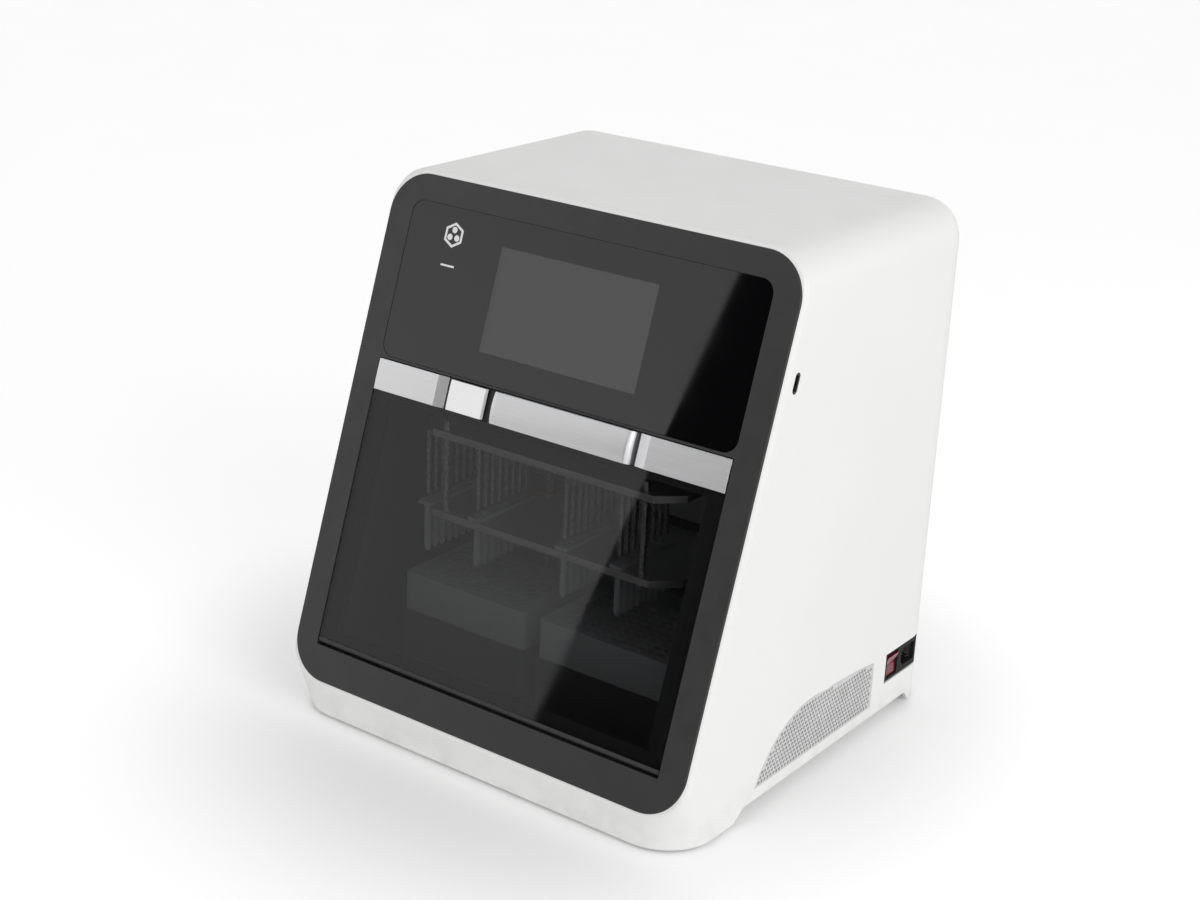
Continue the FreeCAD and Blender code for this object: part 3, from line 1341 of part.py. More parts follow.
def main():
    os.makedirs("parts", exist_ok=True)
    save("outer_cover", outer_cover())
    save("rear_panel", rear_panel())
    save("cover_screws", *cover_screws())
    save("base_tray", base_tray())
    save("rubber_feet", *rubber_feet())
    save("side_vents", side_vent(), mirrored(side_vent()))
    save("front_bezel", front_bezel())
    save("upper_glass", upper_glass())
    save("touch_display", touch_display())
    save("display_board", display_board())
    save("door_frame", door_frame())
    save("door_window", door_window())
    save("door_trim_strips", *door_trim_strips())
    save("door_handle", door_handle())
    save("door_button", door_button())
    save("door_hinge_pins", *door_hinge_pins())
    save("door_magnets", *door_magnets())
    save("side_frame_right", side_frame())
    save("side_frame_left", mirrored(side_frame()))
    save("chamber_back_wall", chamber_back_wall())
    save("deck_plate", deck_plate())
    save("block_housings", block_housing(), mirrored(block_housing()))
    save("blower_housings", blower_housing(), mirrored(blower_housing()))
    for name, shape in (
        ("heated_block", heated_block()),
        ("deep_well_plate", deep_well_plate()),
        ("blower_impeller", blower_impeller()),
    ):
        save(name + "_right", shape)
        save(name + "_left", mirrored(shape))
    save("peltier_modules", *peltier_modules())
    save("heat_sinks", heat_sink(-BAY_X), heat_sink(BAY_X))
    save("power_inlet", power_inlet(), *inlet_contacts())
    save("power_rocker", power_rocker())
    save("service_ports", usb_port(), network_socket())
    save("power_supply", power_supply())
    save("control_board", control_board(), *board_components())
    save("wiring_harness", *wiring_harness())
    save("rear_fan_frame", rear_fan_frame())
    save("rear_fan_rotor", rear_fan_rotor())
    save("gantry_rails", *gantry_rails())
    save("gantry_end_blocks", *gantry_end_blocks())
    save("gantry_motor", gantry_motor())
    save("gantry_screw", gantry_screw())
    save("carriage_frame", carriage_frame())
    save("carriage_bearings", *carriage_bearings())
    save("guide_columns", *guide_columns())
    save("head_motor", head_motor())
    save("head_screw", head_screw())
    save("sleeve_carriage", sleeve_carriage())
    save("sleeve_strips", *sleeve_strips())
    save("head_bearings", *head_bearings())
    save("head_nut", head_nut())
    save("lift_guide_pins", *lift_guide_pins())
    save("rod_drive_bracket", rod_drive_bracket())
    save("rod_motor", rod_motor())
    save("rod_screw", rod_screw())
    save("rod_plate", rod_plate())
    save("magnet_rods", *magnet_rods())
    save("rod_plate_bearings", *rod_plate_bearings())
    save("rod_nut", rod_nut())


main()
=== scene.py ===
import json
import math

import bpy
from mathutils import Matrix, Vector


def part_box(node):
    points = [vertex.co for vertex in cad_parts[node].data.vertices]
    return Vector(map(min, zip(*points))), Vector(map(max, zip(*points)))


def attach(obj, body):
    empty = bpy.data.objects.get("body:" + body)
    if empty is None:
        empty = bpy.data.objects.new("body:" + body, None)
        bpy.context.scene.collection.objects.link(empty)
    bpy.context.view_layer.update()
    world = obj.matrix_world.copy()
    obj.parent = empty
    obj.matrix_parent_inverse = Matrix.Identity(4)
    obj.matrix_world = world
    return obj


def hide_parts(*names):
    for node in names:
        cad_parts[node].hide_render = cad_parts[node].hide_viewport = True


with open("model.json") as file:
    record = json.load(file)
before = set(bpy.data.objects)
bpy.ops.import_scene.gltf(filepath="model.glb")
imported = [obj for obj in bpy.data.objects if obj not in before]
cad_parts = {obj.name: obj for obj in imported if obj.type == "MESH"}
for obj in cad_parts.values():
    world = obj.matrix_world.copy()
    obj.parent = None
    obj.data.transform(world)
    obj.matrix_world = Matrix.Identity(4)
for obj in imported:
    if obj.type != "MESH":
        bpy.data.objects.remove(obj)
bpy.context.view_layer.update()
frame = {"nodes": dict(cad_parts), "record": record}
NODES = frame["nodes"]

# ---- driving values, metres and degrees -----------------------------------------------------
TILT = math.radians(18)             # lean of the front
ACROSS = Vector((1, 0, 0))          # directions of the sloped front
UP_SLOPE = Vector((0, math.sin(TILT), math.cos(TILT)))
OUTWARD = Vector((0, -math.cos(TILT), math.sin(TILT)))

SCREEN_HALF = (0.0770, 0.0430)      # half width and half height of the lit area
GLASS_IOR = 1.58
MARK_RADIUS = 0.0105                # printed mark on the upper glass
MARK_ACROSS = 0.136                 # its place, as a share of the glass width
MARK_DOWN = 0.0225                  # and below the upper edge of the glass
MARK_HOLE = 0.78                    # inside of the hexagon's outline, as a share of its radius
DOT_SPREAD = 0.4                    # dots from the middle of the mark, in mark radii
DOT_RADIUS = 0.25                   # in mark radii
BAR_DOWN = 0.0255                   # short bar below the mark
BAR_HALF = (0.007, 0.0008)
PINHOLE = 0.02                      # hole left in a filled printed shape, as a share of its size
PRINT_HEIGHT = 0.00006
SCREW_LEAD = 0.012                  # travel per turn of the drive screws
SCREW_STARTS = 4
THREAD_DEPTH = 0.0007
RINGS_PER_THREAD = 6                # rings of vertices from one thread to the next
RING_POINTS = 24

CAMERA_PLACE = Vector((0.9285, -1.3375, 0.8355))
CAMERA_AZIMUTH = math.radians(35.5)
CAMERA_ELEVATION = math.radians(20.4)
CAMERA_ROLL = math.radians(2.69)
CAMERA_LENS = 62.04


# ---- measuring the frame --------------------------------------------------------------------
def extent(node, direction):
    """Lowest and highest place of a CAD node's vertices along a direction."""
    places = [vertex.co.dot(direction) for vertex in NODES[node].data.vertices]
    return min(places), max(places)


GLASS_FACE = extent("upper_glass", OUTWARD)[1]
GLASS_V = extent("upper_glass", UP_SLOPE)
GLASS_X = extent("upper_glass", ACROSS)
SCREEN_MID = sum(extent("touch_display", UP_SLOPE)) / 2 + 0.001


def on_glass(x, v, proud=0.0):
    """Point on the sloped front: x across, v up the slope, proud of the glass."""
    return ACROSS * x + UP_SLOPE * v + OUTWARD * (GLASS_FACE + proud)


# ---- material building ----------------------------------------------------------------------
class Surface:
    """A Principled material with small node chains in the CAD's own coordinates."""

    def __init__(self, name, colour, roughness, metallic=0.0):
        self.material = bpy.data.materials.new(name)
        self.material.use_nodes = True
        self.tree = self.material.node_tree
        self.shader = self.tree.nodes["Principled BSDF"]
        self.place = self.add("ShaderNodeTexCoord").outputs["Object"]
        self.colour = colour
        self.set("Base Color", (*colour, 1))
        self.set("Roughness", roughness)
        self.set("Metallic", metallic)

    def add(self, kind, **settings):
        node = self.tree.nodes.new(kind)
        for name, value in settings.items():
            setattr(node, name, value)
        return node

    def feed(self, source, target):
        """Links an output, or sets a plain value."""
        if isinstance(source, bpy.types.NodeSocket):
            self.tree.links.new(source, target)
        else:
            target.default_value = source

    def set(self, name, value):
        self.feed(value, self.shader.inputs[name])

    def maths(self, operation, a, b=0.0, c=0.0):
        node = self.add("ShaderNodeMath", operation=operation)
        for socket, value in zip(node.inputs, (a, b, c)):
            self.feed(value, socket)
        return node.outputs[0]

    def along(self, direction):
        """Coordinate along a direction."""
        node = self.add("ShaderNodeVectorMath", operation="DOT_PRODUCT")
        self.feed(self.place, node.inputs[0])
        node.inputs[1].default_value = direction
        return node.outputs["Value"]

    def distance(self):
        """Distance from the origin."""
        node = self.add("ShaderNodeVectorMath", operation="LENGTH")
        self.feed(self.place, node.inputs[0])
        return node.outputs["Value"]

    def stretched(self, factors):
        node = self.add("ShaderNodeVectorMath", operation="MULTIPLY")
        self.feed(self.place, node.inputs[0])
        node.inputs[1].default_value = factors
        return node.outputs["Vector"]

    def noise(self, scale, detail=2.0, factors=None):
        node = self.add("ShaderNodeTexNoise")
        self.feed(self.stretched(factors) if factors else self.place, node.inputs["Vector"])
        node.inputs["Scale"].default_value = scale
        node.inputs["Detail"].default_value = detail
        return node.outputs["Fac"]

    def cells(self, scale, feature="F1"):
        node = self.add("ShaderNodeTexVoronoi", feature=feature)
        self.feed(self.place, node.inputs["Vector"])
        node.inputs["Scale"].default_value = scale
        return node.outputs["Distance"]

    def spread(self, source, low, high, out_low, out_high):
        """Maps a value from one range to another, smoothly."""
        node = self.add("ShaderNodeMapRange", interpolation_type="SMOOTHSTEP")
        for name, value in (
            ("Value", source),
            ("From Min", low),
            ("From Max", high),
            ("To Min", out_low),
            ("To Max", out_high),
        ):
            self.feed(value, node.inputs[name])
        return node.outputs["Result"]

    def mix(self, share, a, b):
        node = self.add("ShaderNodeMix", data_type="RGBA")
        colours = [s for s in node.inputs if s.type == "RGBA"]
        self.feed(share, node.inputs["Factor"])
        for socket, value in zip(colours, (a, b)):
            self.feed((*value, 1) if isinstance(value, tuple) else value, socket)
        return next(s for s in node.outputs if s.type == "RGBA")

    def shade(self, factor):
        """The base colour, lighter or darker."""
        return tuple(min(1.0, c * factor) for c in self.colour)

    def vary(self, scale, darkest, factors=None):
        """Slow colour variation."""
        share = self.spread(self.noise(scale, 3.0, factors), 0.35, 0.65, 0.0, 1.0)
        result = self.mix(share, self.shade(darkest), self.colour)
        self.set("Base Color", result)
        return result

    def rough(self, scale, low, high, factors=None):
        self.set("Roughness", self.spread(self.noise(scale, 4.0, factors), 0.3, 0.7, low, high))

    def soft_edges(self, radius):
        """Rounds sharp edges in the shading, and returns a mask of the edges, used for wear and,
        on moulded plastic, for a painted edge highlight.
        """
        bevel = self.add("ShaderNodeBevel", samples=4)
        bevel.inputs["Radius"].default_value = radius
        geometry = self.add("ShaderNodeNewGeometry")
        dot = self.add("ShaderNodeVectorMath", operation="DOT_PRODUCT")
        self.feed(bevel.outputs["Normal"], dot.inputs[0])
        self.feed(geometry.outputs["Normal"], dot.inputs[1])
        self.normal = bevel.outputs["Normal"]
        return self.spread(dot.outputs["Value"], 0.995, 0.85, 0.0, 1.0)

    def bump(self, height, depth, strength=1.0):
        node = self.add("ShaderNodeBump")
        self.feed(height, node.inputs["Height"])
        node.inputs["Distance"].default_value = depth
        node.inputs["Strength"].default_value = strength
        if getattr(self, "normal", None):
            self.feed(self.normal, node.inputs["Normal"])
        self.normal = node.outputs["Normal"]
        self.set("Normal", self.normal)


def moulded(name, colour, roughness, grain=1400, depth=0.00002, worn=1.12):
    """Moulded plastic: fine grain, slow sheen variation, and a painted highlight on the edges,
    patchy like wear.
    """
    s = Surface(name, colour, roughness)
    edge = s.soft_edges(0.0004)
    base = s.vary(9, 0.96)
    # Painted highlight: the edges are lightened by the worn factor, broken up by noise.
    s.set("Base Color", s.mix(s.maths("MULTIPLY", edge, s.noise(300)), base, s.shade(worn)))
    s.rough(60, roughness - 0.05, roughness + 0.06)
    s.bump(s.noise(grain, 1.0), depth)
    return s


def white_housing():
    """Satin white shell: moulded texture, and painted shade low down that is mottled like dust.
    """
    s = Surface("white_housing", (0.90, 0.90, 0.893), 0.36)
    s.set("Specular IOR Level", 0.45)
    fine = s.vary(5, 0.985)
    # Painted shade mottled like dust: the colour darkens towards the bottom, standing in for the
    # shade under the front chin.
    low = s.spread(s.along((0, 0, 1)), 0.040, 0.004, 0.0, 0.55)
    dust = s.maths("MULTIPLY", low, s.spread(s.noise(45, 4), 0.4, 0.7, 0.0, 1.0))
    s.set("Base Color", s.mix(dust, fine, (0.74, 0.735, 0.72)))
    s.rough(30, 0.32, 0.42)
    s.bump(s.noise(1100, 1.0), 0.000012)
    return s


def vent_plastic():
    """Perforated insert: painted greyer than the shell, a painted shade standing in for the
    shade inside its holes, with blotches of dust.
    """
    # Painted shade: the grey base colour stands in for the shade inside the perforation holes.
    s = moulded("white_housing_vent", (0.68, 0.68, 0.68), 0.5, 900, 0.00002, 1.2)
    dust = s.spread(s.noise(140, 5), 0.5, 0.7, 0.0, 0.3)
    s.set("Base Color", s.mix(dust, s.vary(20, 0.93), (0.50, 0.49, 0.48)))
    return s


def white_button():
    s = moulded("white_button", (0.98, 0.98, 0.98), 0.22, 900, 0.000008, 1.0)
    s.set("Coat Weight", 0.4)
    return s


def powder_coat():
    """Powder-coated sheet: pebbled skin with bare spots worn on the edges."""
    s = Surface("grey_sheet", (0.74, 0.74, 0.73), 0.5)
    edge = s.soft_edges(0.0005)
    base = s.vary(14, 0.95)
    worn = s.maths("MULTIPLY", edge, s.spread(s.noise(220, 5), 0.5, 0.62, 0.0, 1.0))
    s.set("Base Color", s.mix(worn, base, (0.42, 0.42, 0.42)))
    s.rough(80, 0.42, 0.6)
    s.bump(s.cells(1500), 0.00001, 0.2)
    return s


def dark_coat():
    """Dark grey coat of the sheet round the sample chamber."""
    s = Surface("grey_sheet_dark", (0.10, 0.10, 0.103), 0.6)
    worn = s.maths("MULTIPLY", s.soft_edges(0.0005), s.noise(120, 4))
    s.set("Base Color", s.mix(worn, s.vary(9, 0.94), s.shade(1.5)))
    s.rough(50, 0.5, 0.7)
    return s


def bezel_grey():
    s = moulded("bezel_grey", (0.026, 0.026, 0.027), 0.42, 1800, 0.00003, 2.4)
    s.set("Specular IOR Level", 0.55)
    return s


def glass_smudges(s):
    """Polished glass with faint wiped smears."""
    smears = s.noise(14, 5, (1.0, 0.35, 0.35))
    s.set("Roughness", s.spread(smears, 0.45, 0.75, 0.02, 0.06))


def inside(s, coordinate, middle, half, soft):
    """1 within half of the middle of a coordinate, 0 outside, with a soft border."""
    distance = s.maths("ABSOLUTE", s.maths("SUBTRACT", coordinate, middle))
    return s.spread(distance, half + soft, half - soft, 0.0, 1.0)


def black_glass():
    """Back-printed glass, grey and half clear in front of the screen."""
    s = Surface("black_glass", (0.003, 0.003, 0.0035), 0.03)
    s.set("IOR", GLASS_IOR)
    window = s.maths(
        "MULTIPLY",
        inside(s, s.along(ACROSS), 0.0, SCREEN_HALF[0], 0.0003),
        inside(s, s.along(UP_SLOPE), SCREEN_MID, SCREEN_HALF[1], 0.0003),
    )
    s.set("Base Color", s.mix(window, s.colour, (0.080, 0.080, 0.082)))
    s.set("Alpha", s.spread(window, 0.0, 1.0, 1.0, 0.75))
    glass_smudges(s)
    s.material.surface_render_method = "BLENDED"
    return s


def smoked_glass():
    s = Surface("smoked_glass", (0.004, 0.004, 0.0045), 0.03)
    s.set("IOR", GLASS_IOR)
    s.set("Alpha", 0.52)
    s.set("Specular IOR Level", 0.5)
    glass_smudges(s)
    s.material.surface_render_method = "BLENDED"
    return s


def screen_glass():
    """Switched-off display: even grey panel with a fine cell grain."""
    s = Surface("screen", (0.060, 0.060, 0.062), 0.35)
    s.set("Base Color", s.mix(s.noise(900), (0.082, 0.082, 0.084), (0.088, 0.088, 0.090)))
    s.rough(90, 0.3, 0.4)
    s.bump(s.noise(1500), 0.000005)
    return s


def brushed(name, colour, low, high, factors, depth=0.000004, worn=1.15, line_scale=700):
    """Metal with fine lines along one direction and polished edges."""
    s = Surface(name, colour, low, 1.0)
    edge = s.soft_edges(0.0005)
    lines = s.noise(line_scale, 3, factors)
    base = s.mix(s.spread(lines, 0.3, 0.7, 0.0, 1.0), s.shade(0.94), s.colour)
    s.set("Base Color", s.mix(s.maths("MULTIPLY", edge, 0.7), base, s.shade(worn)))
    s.rough(line_scale, low, high, factors)
    s.bump(lines, depth)
    return s


def silver_trim():
    """Satin silver strip, its lines running along it."""
    return brushed("silver_trim", (0.85, 0.85, 0.86), 0.36, 0.44, (0.02, 4.0, 4.0), 0.000002)


def bare_aluminium():
    return brushed("bare_aluminium", (0.84, 0.84, 0.85), 0.40, 0.55, (0.35, 2.0, 2.0), 0.000008)


def ground_steel():
    return brushed("steel", (0.58, 0.58, 0.59), 0.2, 0.34, (3.0, 3.0, 0.4))


def brass():
    return brushed("brass", (0.72, 0.53, 0.24), 0.25, 0.4, (2.0, 2.0, 0.6))


def zinc_sheet():
    """Zinc-plated sheet with its crystal pattern."""
    s = Surface("zinc_sheet", (0.55, 0.56, 0.58), 0.38, 1.0)
    edge = s.soft_edges(0.0004)
    spangle = s.cells(90)
    base = s.mix(s.spread(spangle, 0.1, 0.7, 0.0, 1.0), s.shade(0.82), s.colour)
    s.set("Base Color", s.mix(s.maths("MULTIPLY", edge, 0.5), base, s.shade(1.3)))
    s.set("Roughness", s.spread(spangle, 0.0, 0.8, 0.30, 0.46))
    s.bump(s.noise(160, 4), 0.00002)
    return s


def rubber():
    s = moulded("rubber", (0.022, 0.022, 0.022), 0.8, 700, 0.00005, 1.6)
    dust = s.spread(s.noise(120, 5), 0.5, 0.75, 0.0, 0.25)
    s.set("Base Color", s.mix(dust, (0.022, 0.022, 0.022), (0.11, 0.105, 0.10)))
    return s


def black_plastic():
    return moulded("black_plastic", (0.020, 0.020, 0.021), 0.45, 1500, 0.00003, 2.2)


def inlet_plastic():
    """Matt black thermoset of the mains inlet."""
    s = moulded("black_plastic_matt", (0.010, 0.010, 0.0105), 0.6, 1100, 0.00003, 2.0)
    s.set("Specular IOR Level", 0.25)
    return s


def red_plastic():
    """Glossy rocker, translucent red over black."""
    s = moulded("red_plastic", (0.17, 0.006, 0.018), 0.2, 700, 0.000006, 1.3)
    s.set("Subsurface Weight", 0.2)
    s.set("Subsurface Radius", (0.004, 0.001, 0.001))
    s.set("Coat Weight", 0.3)
    return s


def circuit_board():
    """Solder mask with tracks and rows of pads."""
    s = Surface("circuit_green", (0.012, 0.085, 0.035), 0.35)
    s.soft_edges(0.0003)
    tracks = s.cells(140, "DISTANCE_TO_EDGE")
    copper = s.spread(tracks, 0.05, 0.03, 0.0, 1.0)
    pads = s.spread(s.cells(420), 0.22, 0.16, 0.0, 1.0)
    base = s.mix(copper, (0.010, 0.075, 0.030), (0.022, 0.13, 0.055))
    s.set("Base Color", s.mix(pads, base, (0.62, 0.60, 0.52)))
    s.set("Metallic", s.maths("MULTIPLY", pads, 0.9))
    s.rough(200, 0.28, 0.42)
    s.bump(copper, 0.00003)
    return s


def ceramic():
    return moulded("ceramic_white", (0.80, 0.80, 0.77), 0.6, 900, 0.00004, 1.05)


def polypropylene():
    """Natural polypropylene: cloudy, with a little light under its skin."""
    s = moulded("polypropylene", (0.74, 0.76, 0.78), 0.32, 500, 0.00002, 1.15)
    s.set("Subsurface Weight", 0.3)
    s.set("Subsurface Radius", (0.002, 0.002, 0.002))
    return s


def motor_steel():
    """Stepper motor: black, with a fine bump of thin stacked plates all over."""
    s = Surface("motor_black", (0.03, 0.03, 0.032), 0.4)
    edge = s.soft_edges(0.0005)
    base = s.vary(40, 0.8)
    s.set("Base Color", s.mix(s.maths("MULTIPLY", edge, s.noise(260)), base, (0.35, 0.35, 0.36)))
    layers = s.maths("SINE", s.maths("MULTIPLY", s.along((1, 1, 1)), 9000.0))
    s.rough(90, 0.32, 0.5)
    s.bump(layers, 0.00003)
    return s


def thread_steel():
    return brushed("thread_steel", (0.62, 0.62, 0.63), 0.18, 0.3, (2.0, 2.0, 2.0), 0.000006)


def printed_white():
    s = Surface("printed_white", (0.85, 0.85, 0.86), 0.4)
    s.vary(400, 0.93)
    s.rough(300, 0.35, 0.5)
    return s


SLOT_MATERIALS = {
    "white_housing": white_housing,
    "white_button": white_button,
    "grey_sheet": powder_coat,
    "bezel_grey": bezel_grey,
    "black_glass": black_glass,
    "smoked_glass": smoked_glass,
    "silver_trim": silver_trim,
    "rubber": rubber,
    "black_plastic": black_plastic,
    "red_plastic": red_plastic,
    "screen": screen_glass,
    "circuit_green": circuit_board,
    "bare_aluminium": bare_aluminium,
    "ceramic_white": ceramic,
    "polypropylene": polypropylene,
    "steel": ground_steel,
    "zinc_sheet": zinc_sheet,
    "brass": brass,
}
MOTORS = ("gantry_motor", "head_motor", "rod_motor")
CHAMBER = (
    "deck_plate",
    "chamber_back_wall",
    "side_frame_left",
    "side_frame_right",
    "block_housings",
)


def dress_cad_nodes():
    """Gives every CAD node the finish of its record slot."""
    made = {slot: build().material for slot, build in SLOT_MATERIALS.items()}
    for part in frame["record"]["subparts"]:
        NODES[part["node"]].data.materials[0] = made[part["material_slot"]]
    motor = motor_steel().material
    for node in MOTORS:
        NODES[node].data.materials[0] = motor
    NODES["side_vents"].data.materials[0] = vent_plastic().material
    NODES["power_inlet"].data.materials[0] = inlet_plastic().material
    chamber = dark_coat().material
    for node in CHAMBER:
        NODES[node].data.materials[0] = chamber


# ---- extra pieces ---------------------------------------------------------------------------
def new_piece(name, vertices, faces, material, body, smooth=True):
    """Mesh piece that rides on a body."""
    mesh = bpy.data.meshes.new(name)
    mesh.from_pydata([tuple(v) for v in vertices], [], faces)
    mesh.validate()
    mesh.polygons.foreach_set("use_smooth", [smooth] * len(mesh.polygons))
    mesh.materials.append(material)
    piece = bpy.data.objects.new(name, mesh)
    bpy.context.scene.collection.objects.link(piece)
    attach(piece, body)
    return piece


def ring_faces(rings, segments):
    """Quads between closed rings of vertices, numbered ring by ring."""
    faces = []
    for ring in range(rings - 1):
        for k in range(segments):
            a = ring * segments + k
            b = ring * segments + (k + 1) % segments
            faces.append((a, b, b + segments, a + segments))
    return faces


def threaded_rod(node, body, axis, material):
    """Drive screw with a real trapezoidal thread, in place of the plain CAD cylinder."""
    low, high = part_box(node)
    direction = Vector(axis)
    side = Vector((0, 0, 1)) if abs(direction.x) > 0.5 else Vector((1, 0, 0))
    other = direction.cross(side)
    length = (high - low).dot(direction)
    radius = (high - low).dot(side) / 2
    middle = (low + high) / 2
    start = middle - direction * (length / 2)
    segments = RING_POINTS
    step = SCREW_LEAD / SCREW_STARTS / RINGS_PER_THREAD
    rings = int(length / step) + 1
    vertices = []
    for ring in range(rings):
        distance = length * ring / (rings - 1)
        for k in range(segments):
            turn = 2 * math.pi * k / segments
            phase = distance / SCREW_LEAD * SCREW_STARTS - SCREW_STARTS * k / segments
            height = min(1.0, max(0.0, 0.5 + 1.4 * math.sin(2 * math.pi * phase)))
            at_end = min(distance, length - distance) < 2 * step
            r = radius - THREAD_DEPTH * (1.0 if at_end else 1.0 - height)
            around = side * math.cos(turn) + other * math.sin(turn)
            vertices.append(start + direction * distance + around * r)
    faces = ring_faces(rings, segments)
    faces.append(tuple(reversed(range(segments))))
    faces.append(tuple(range((rings - 1) * segments, rings * segments)))
    piece = new_piece(node + "_threaded", vertices, faces, material, body)
    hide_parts(node)


def drive_screws():
    material = thread_steel().material
    threaded_rod("gantry_screw", "gantry_lead_screw", (1, 0, 0), material)
    threaded_rod("head_screw", "head_lead_screw", (0, 0, 1), material)
    threaded_rod("rod_screw", "rod_lead_screw", (0, 0, 1), material)


def plate_on_glass(name, outlines, material):
    """Thin printed shapes on the glass; each outline is an outer and an inner loop of (x, v)."""
    vertices, faces = [], []
    for outer, inner in outlines:
        base = len(vertices)
        count = len(outer)
        layers = ((outer, 0.0), (outer, PRINT_HEIGHT), (inner, PRINT_HEIGHT), (inner, 0.0))
        for loop, proud in layers:
            vertices += [on_glass(x, v, proud) for x, v in loop]
        for layer in range(4):
            for k in range(count):
                a = base + layer * count + k
                b = base + layer * count + (k + 1) % count
                up = ((layer + 1) % 4 - layer) * count
                faces.append((a, b, b + up, a + up))
    return new_piece(name, vertices, faces, material, "cabinet", smooth=False)


def circle(cx, cv, radius, count, turn=0.0):
    angles = [turn + 2 * math.pi * k / count for k in range(count)]
    return [(cx + radius * math.cos(a), cv + radius * math.sin(a)) for a in angles]


def generic_mark():
    """Plain hexagon with three dots and a short bar, printed on the upper left of the glass."""
    material = printed_white().material
    cx = GLASS_X[0] + MARK_ACROSS * (GLASS_X[1] - GLASS_X[0])
    cv = GLASS_V[1] - MARK_DOWN
    third = 2 * math.pi / 3
    hexagon = [circle(cx, cv, MARK_RADIUS * share, 6, math.pi / 6) for share in (1.0, MARK_HOLE)]
    shapes = [tuple(hexagon)]
    for k in range(3):
        x = cx + DOT_SPREAD * MARK_RADIUS * math.cos(math.pi / 2 + k * third)
        v = cv + DOT_SPREAD * MARK_RADIUS * math.sin(math.pi / 2 + k * third)
        dot = [circle(x, v, MARK_RADIUS * share, 20) for share in (DOT_RADIUS, PINHOLE)]
        shapes.append(tuple(dot))
    bar_v = cv - BAR_DOWN
    half_x, half_v = BAR_HALF
    signs = ((-1, -1), (1, -1), (1, 1), (-1, 1))
    outer = [(cx + i * half_x, bar_v + j * half_v) for i, j in signs]
    inner = [(cx + i * half_x * PINHOLE, bar_v + j * half_v * PINHOLE) for i, j in signs]
    shapes.append((outer, inner))
    plate_on_glass("printed_mark", shapes, material)


# ---- stage ----------------------------------------------------------------------------------
def stage_mesh(name, corners, material):
    mesh = bpy.data.meshes.new(name)
    mesh.from_pydata([tuple(c) for c in corners], [], [tuple(range(len(corners)))])
    mesh.materials.append(material)
    piece = bpy.data.objects.new(name, mesh)
    bpy.context.scene.collection.objects.link(piece)
    return piece


def floor():
    """Wide pale floor with a painted glow: faint for all rays and stronger for camera rays,
    weaker near the object so it looks shaded there, so the floor fades to white away from the
    object.
    """
    s = Surface("studio_floor", (0.93, 0.93, 0.93), 0.6)
    s.set("Specular IOR Level", 0.2)
    s.set("Emission Color", (1, 1, 1, 1))
    # Painted light: the floor glows, most for camera rays and least near the object, which
    # leaves a painted shade round it.
    seen = s.add("ShaderNodeLightPath").outputs["Is Camera Ray"]
    painted_floor_glow = s.spread(s.distance(), 0.20, 0.48, 0.08, 0.33)
    s.set("Emission Strength", s.maths("MULTIPLY_ADD", seen, painted_floor_glow, 0.04))
    s.rough(6, 0.55, 0.7)
    reach = 30.0
    corners = [(-reach, -reach, 0), (reach, -reach, 0), (reach, reach, 0), (-reach, reach, 0)]
    stage_mesh("studio_floor", corners, s.material)


def dark_flag():
    """Black card out of sight, mirrored by the right part of the glass for this camera.

    Its left edge is where the mirror image of the camera looks through the slanting line
    from the foot to the head of the glass."""
    s = Surface("studio_flag", (0.0, 0.0, 0.0), 1.0)
    s.set("Specular IOR Level", 0.0)
    mirrored_eye = CAMERA_PLACE - OUTWARD * 2 * (CAMERA_PLACE.dot(OUTWARD) - GLASS_FACE)
    foot_v, head_v = GLASS_V[0] - 0.30, GLASS_V[1] + 0.05
    foot_x, head_x = 0.042, 0.155
    far_x = 0.45
    away = 1.4
    card = []
    for x, v in ((foot_x, foot_v), (head_x, head_v), (far_x, head_v), (far_x, foot_v)):
        through = on_glass(x, v)
        ray = (through - mirrored_eye).normalized()
        card.append(through + ray * (away / ray.dot(OUTWARD)))
    flag = stage_mesh("studio_flag", card, s.material)
    flag.visible_camera = False
    flag.visible_diffuse = False
    flag.visible_shadow = False


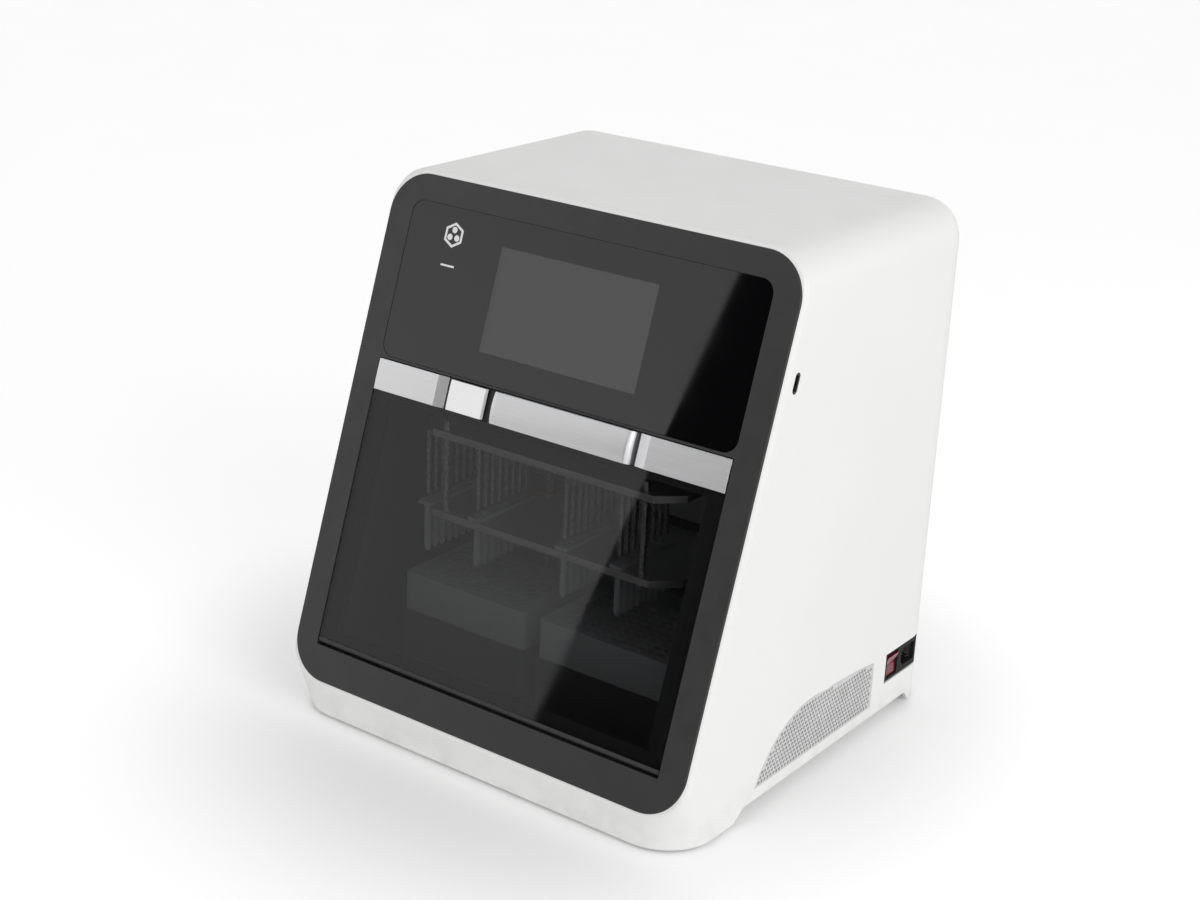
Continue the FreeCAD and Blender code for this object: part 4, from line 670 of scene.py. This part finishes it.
def softbox(name, place, target, size, power):
    light = bpy.data.lights.new(name, "AREA")
    light.shape = "RECTANGLE"
    light.size, light.size_y = size
    light.energy = power
    lamp = bpy.data.objects.new(name, light)
    bpy.context.scene.collection.objects.link(lamp)
    lamp.location = place
    lamp.rotation_euler = (Vector(target) - Vector(place)).to_track_quat("-Z", "Y").to_euler()
    return lamp


def studio_world():
    """White studio, brighter towards the horizon, pure white behind the object."""
    world = bpy.data.worlds.new("studio")
    bpy.context.scene.world = world
    world.use_nodes = True
    tree = world.node_tree
    background = tree.nodes["Background"]
    place = tree.nodes.new("ShaderNodeTexCoord")
    split = tree.nodes.new("ShaderNodeSeparateXYZ")
    height = tree.nodes.new("ShaderNodeMapRange")
    ray = tree.nodes.new("ShaderNodeLightPath")
    choose = tree.nodes.new("ShaderNodeMix")
    tree.links.new(place.outputs["Generated"], split.inputs[0])
    tree.links.new(split.outputs["Z"], height.inputs["Value"])
    height.inputs["From Min"].default_value = 0.15
    height.inputs["From Max"].default_value = 0.95
    height.inputs["To Min"].default_value = 1.0
    height.inputs["To Max"].default_value = 0.40
    tree.links.new(ray.outputs["Is Camera Ray"], choose.inputs["Factor"])
    tree.links.new(height.outputs["Result"], choose.inputs["A"])
    choose.inputs["B"].default_value = 1.0
    tree.links.new(choose.outputs["Result"], background.inputs["Strength"])
    background.inputs["Color"].default_value = (1, 1, 1, 1)


def camera():
    data = bpy.data.cameras.new("studio_camera")
    data.lens = CAMERA_LENS
    data.sensor_width = 36.0
    eye = bpy.data.objects.new("studio_camera", data)
    bpy.context.scene.collection.objects.link(eye)
    turn = Matrix.Rotation(CAMERA_AZIMUTH, 4, "Z")
    nod = Matrix.Rotation(math.pi / 2 - CAMERA_ELEVATION, 4, "X")
    roll = Matrix.Rotation(CAMERA_ROLL, 4, "Z")
    eye.matrix_world = Matrix.Translation(CAMERA_PLACE) @ turn @ nod @ roll
    bpy.context.scene.camera = eye


def studio():
    bpy.context.scene.view_settings.view_transform = "Standard"
    studio_world()
    floor()
    dark_flag()
    softbox("key_light", (2.2, -0.8, 1.6), (0, 0, 0.2), (1.6, 1.6), 19)
    camera()


dress_cad_nodes()
drive_screws()
generic_mark()
studio()
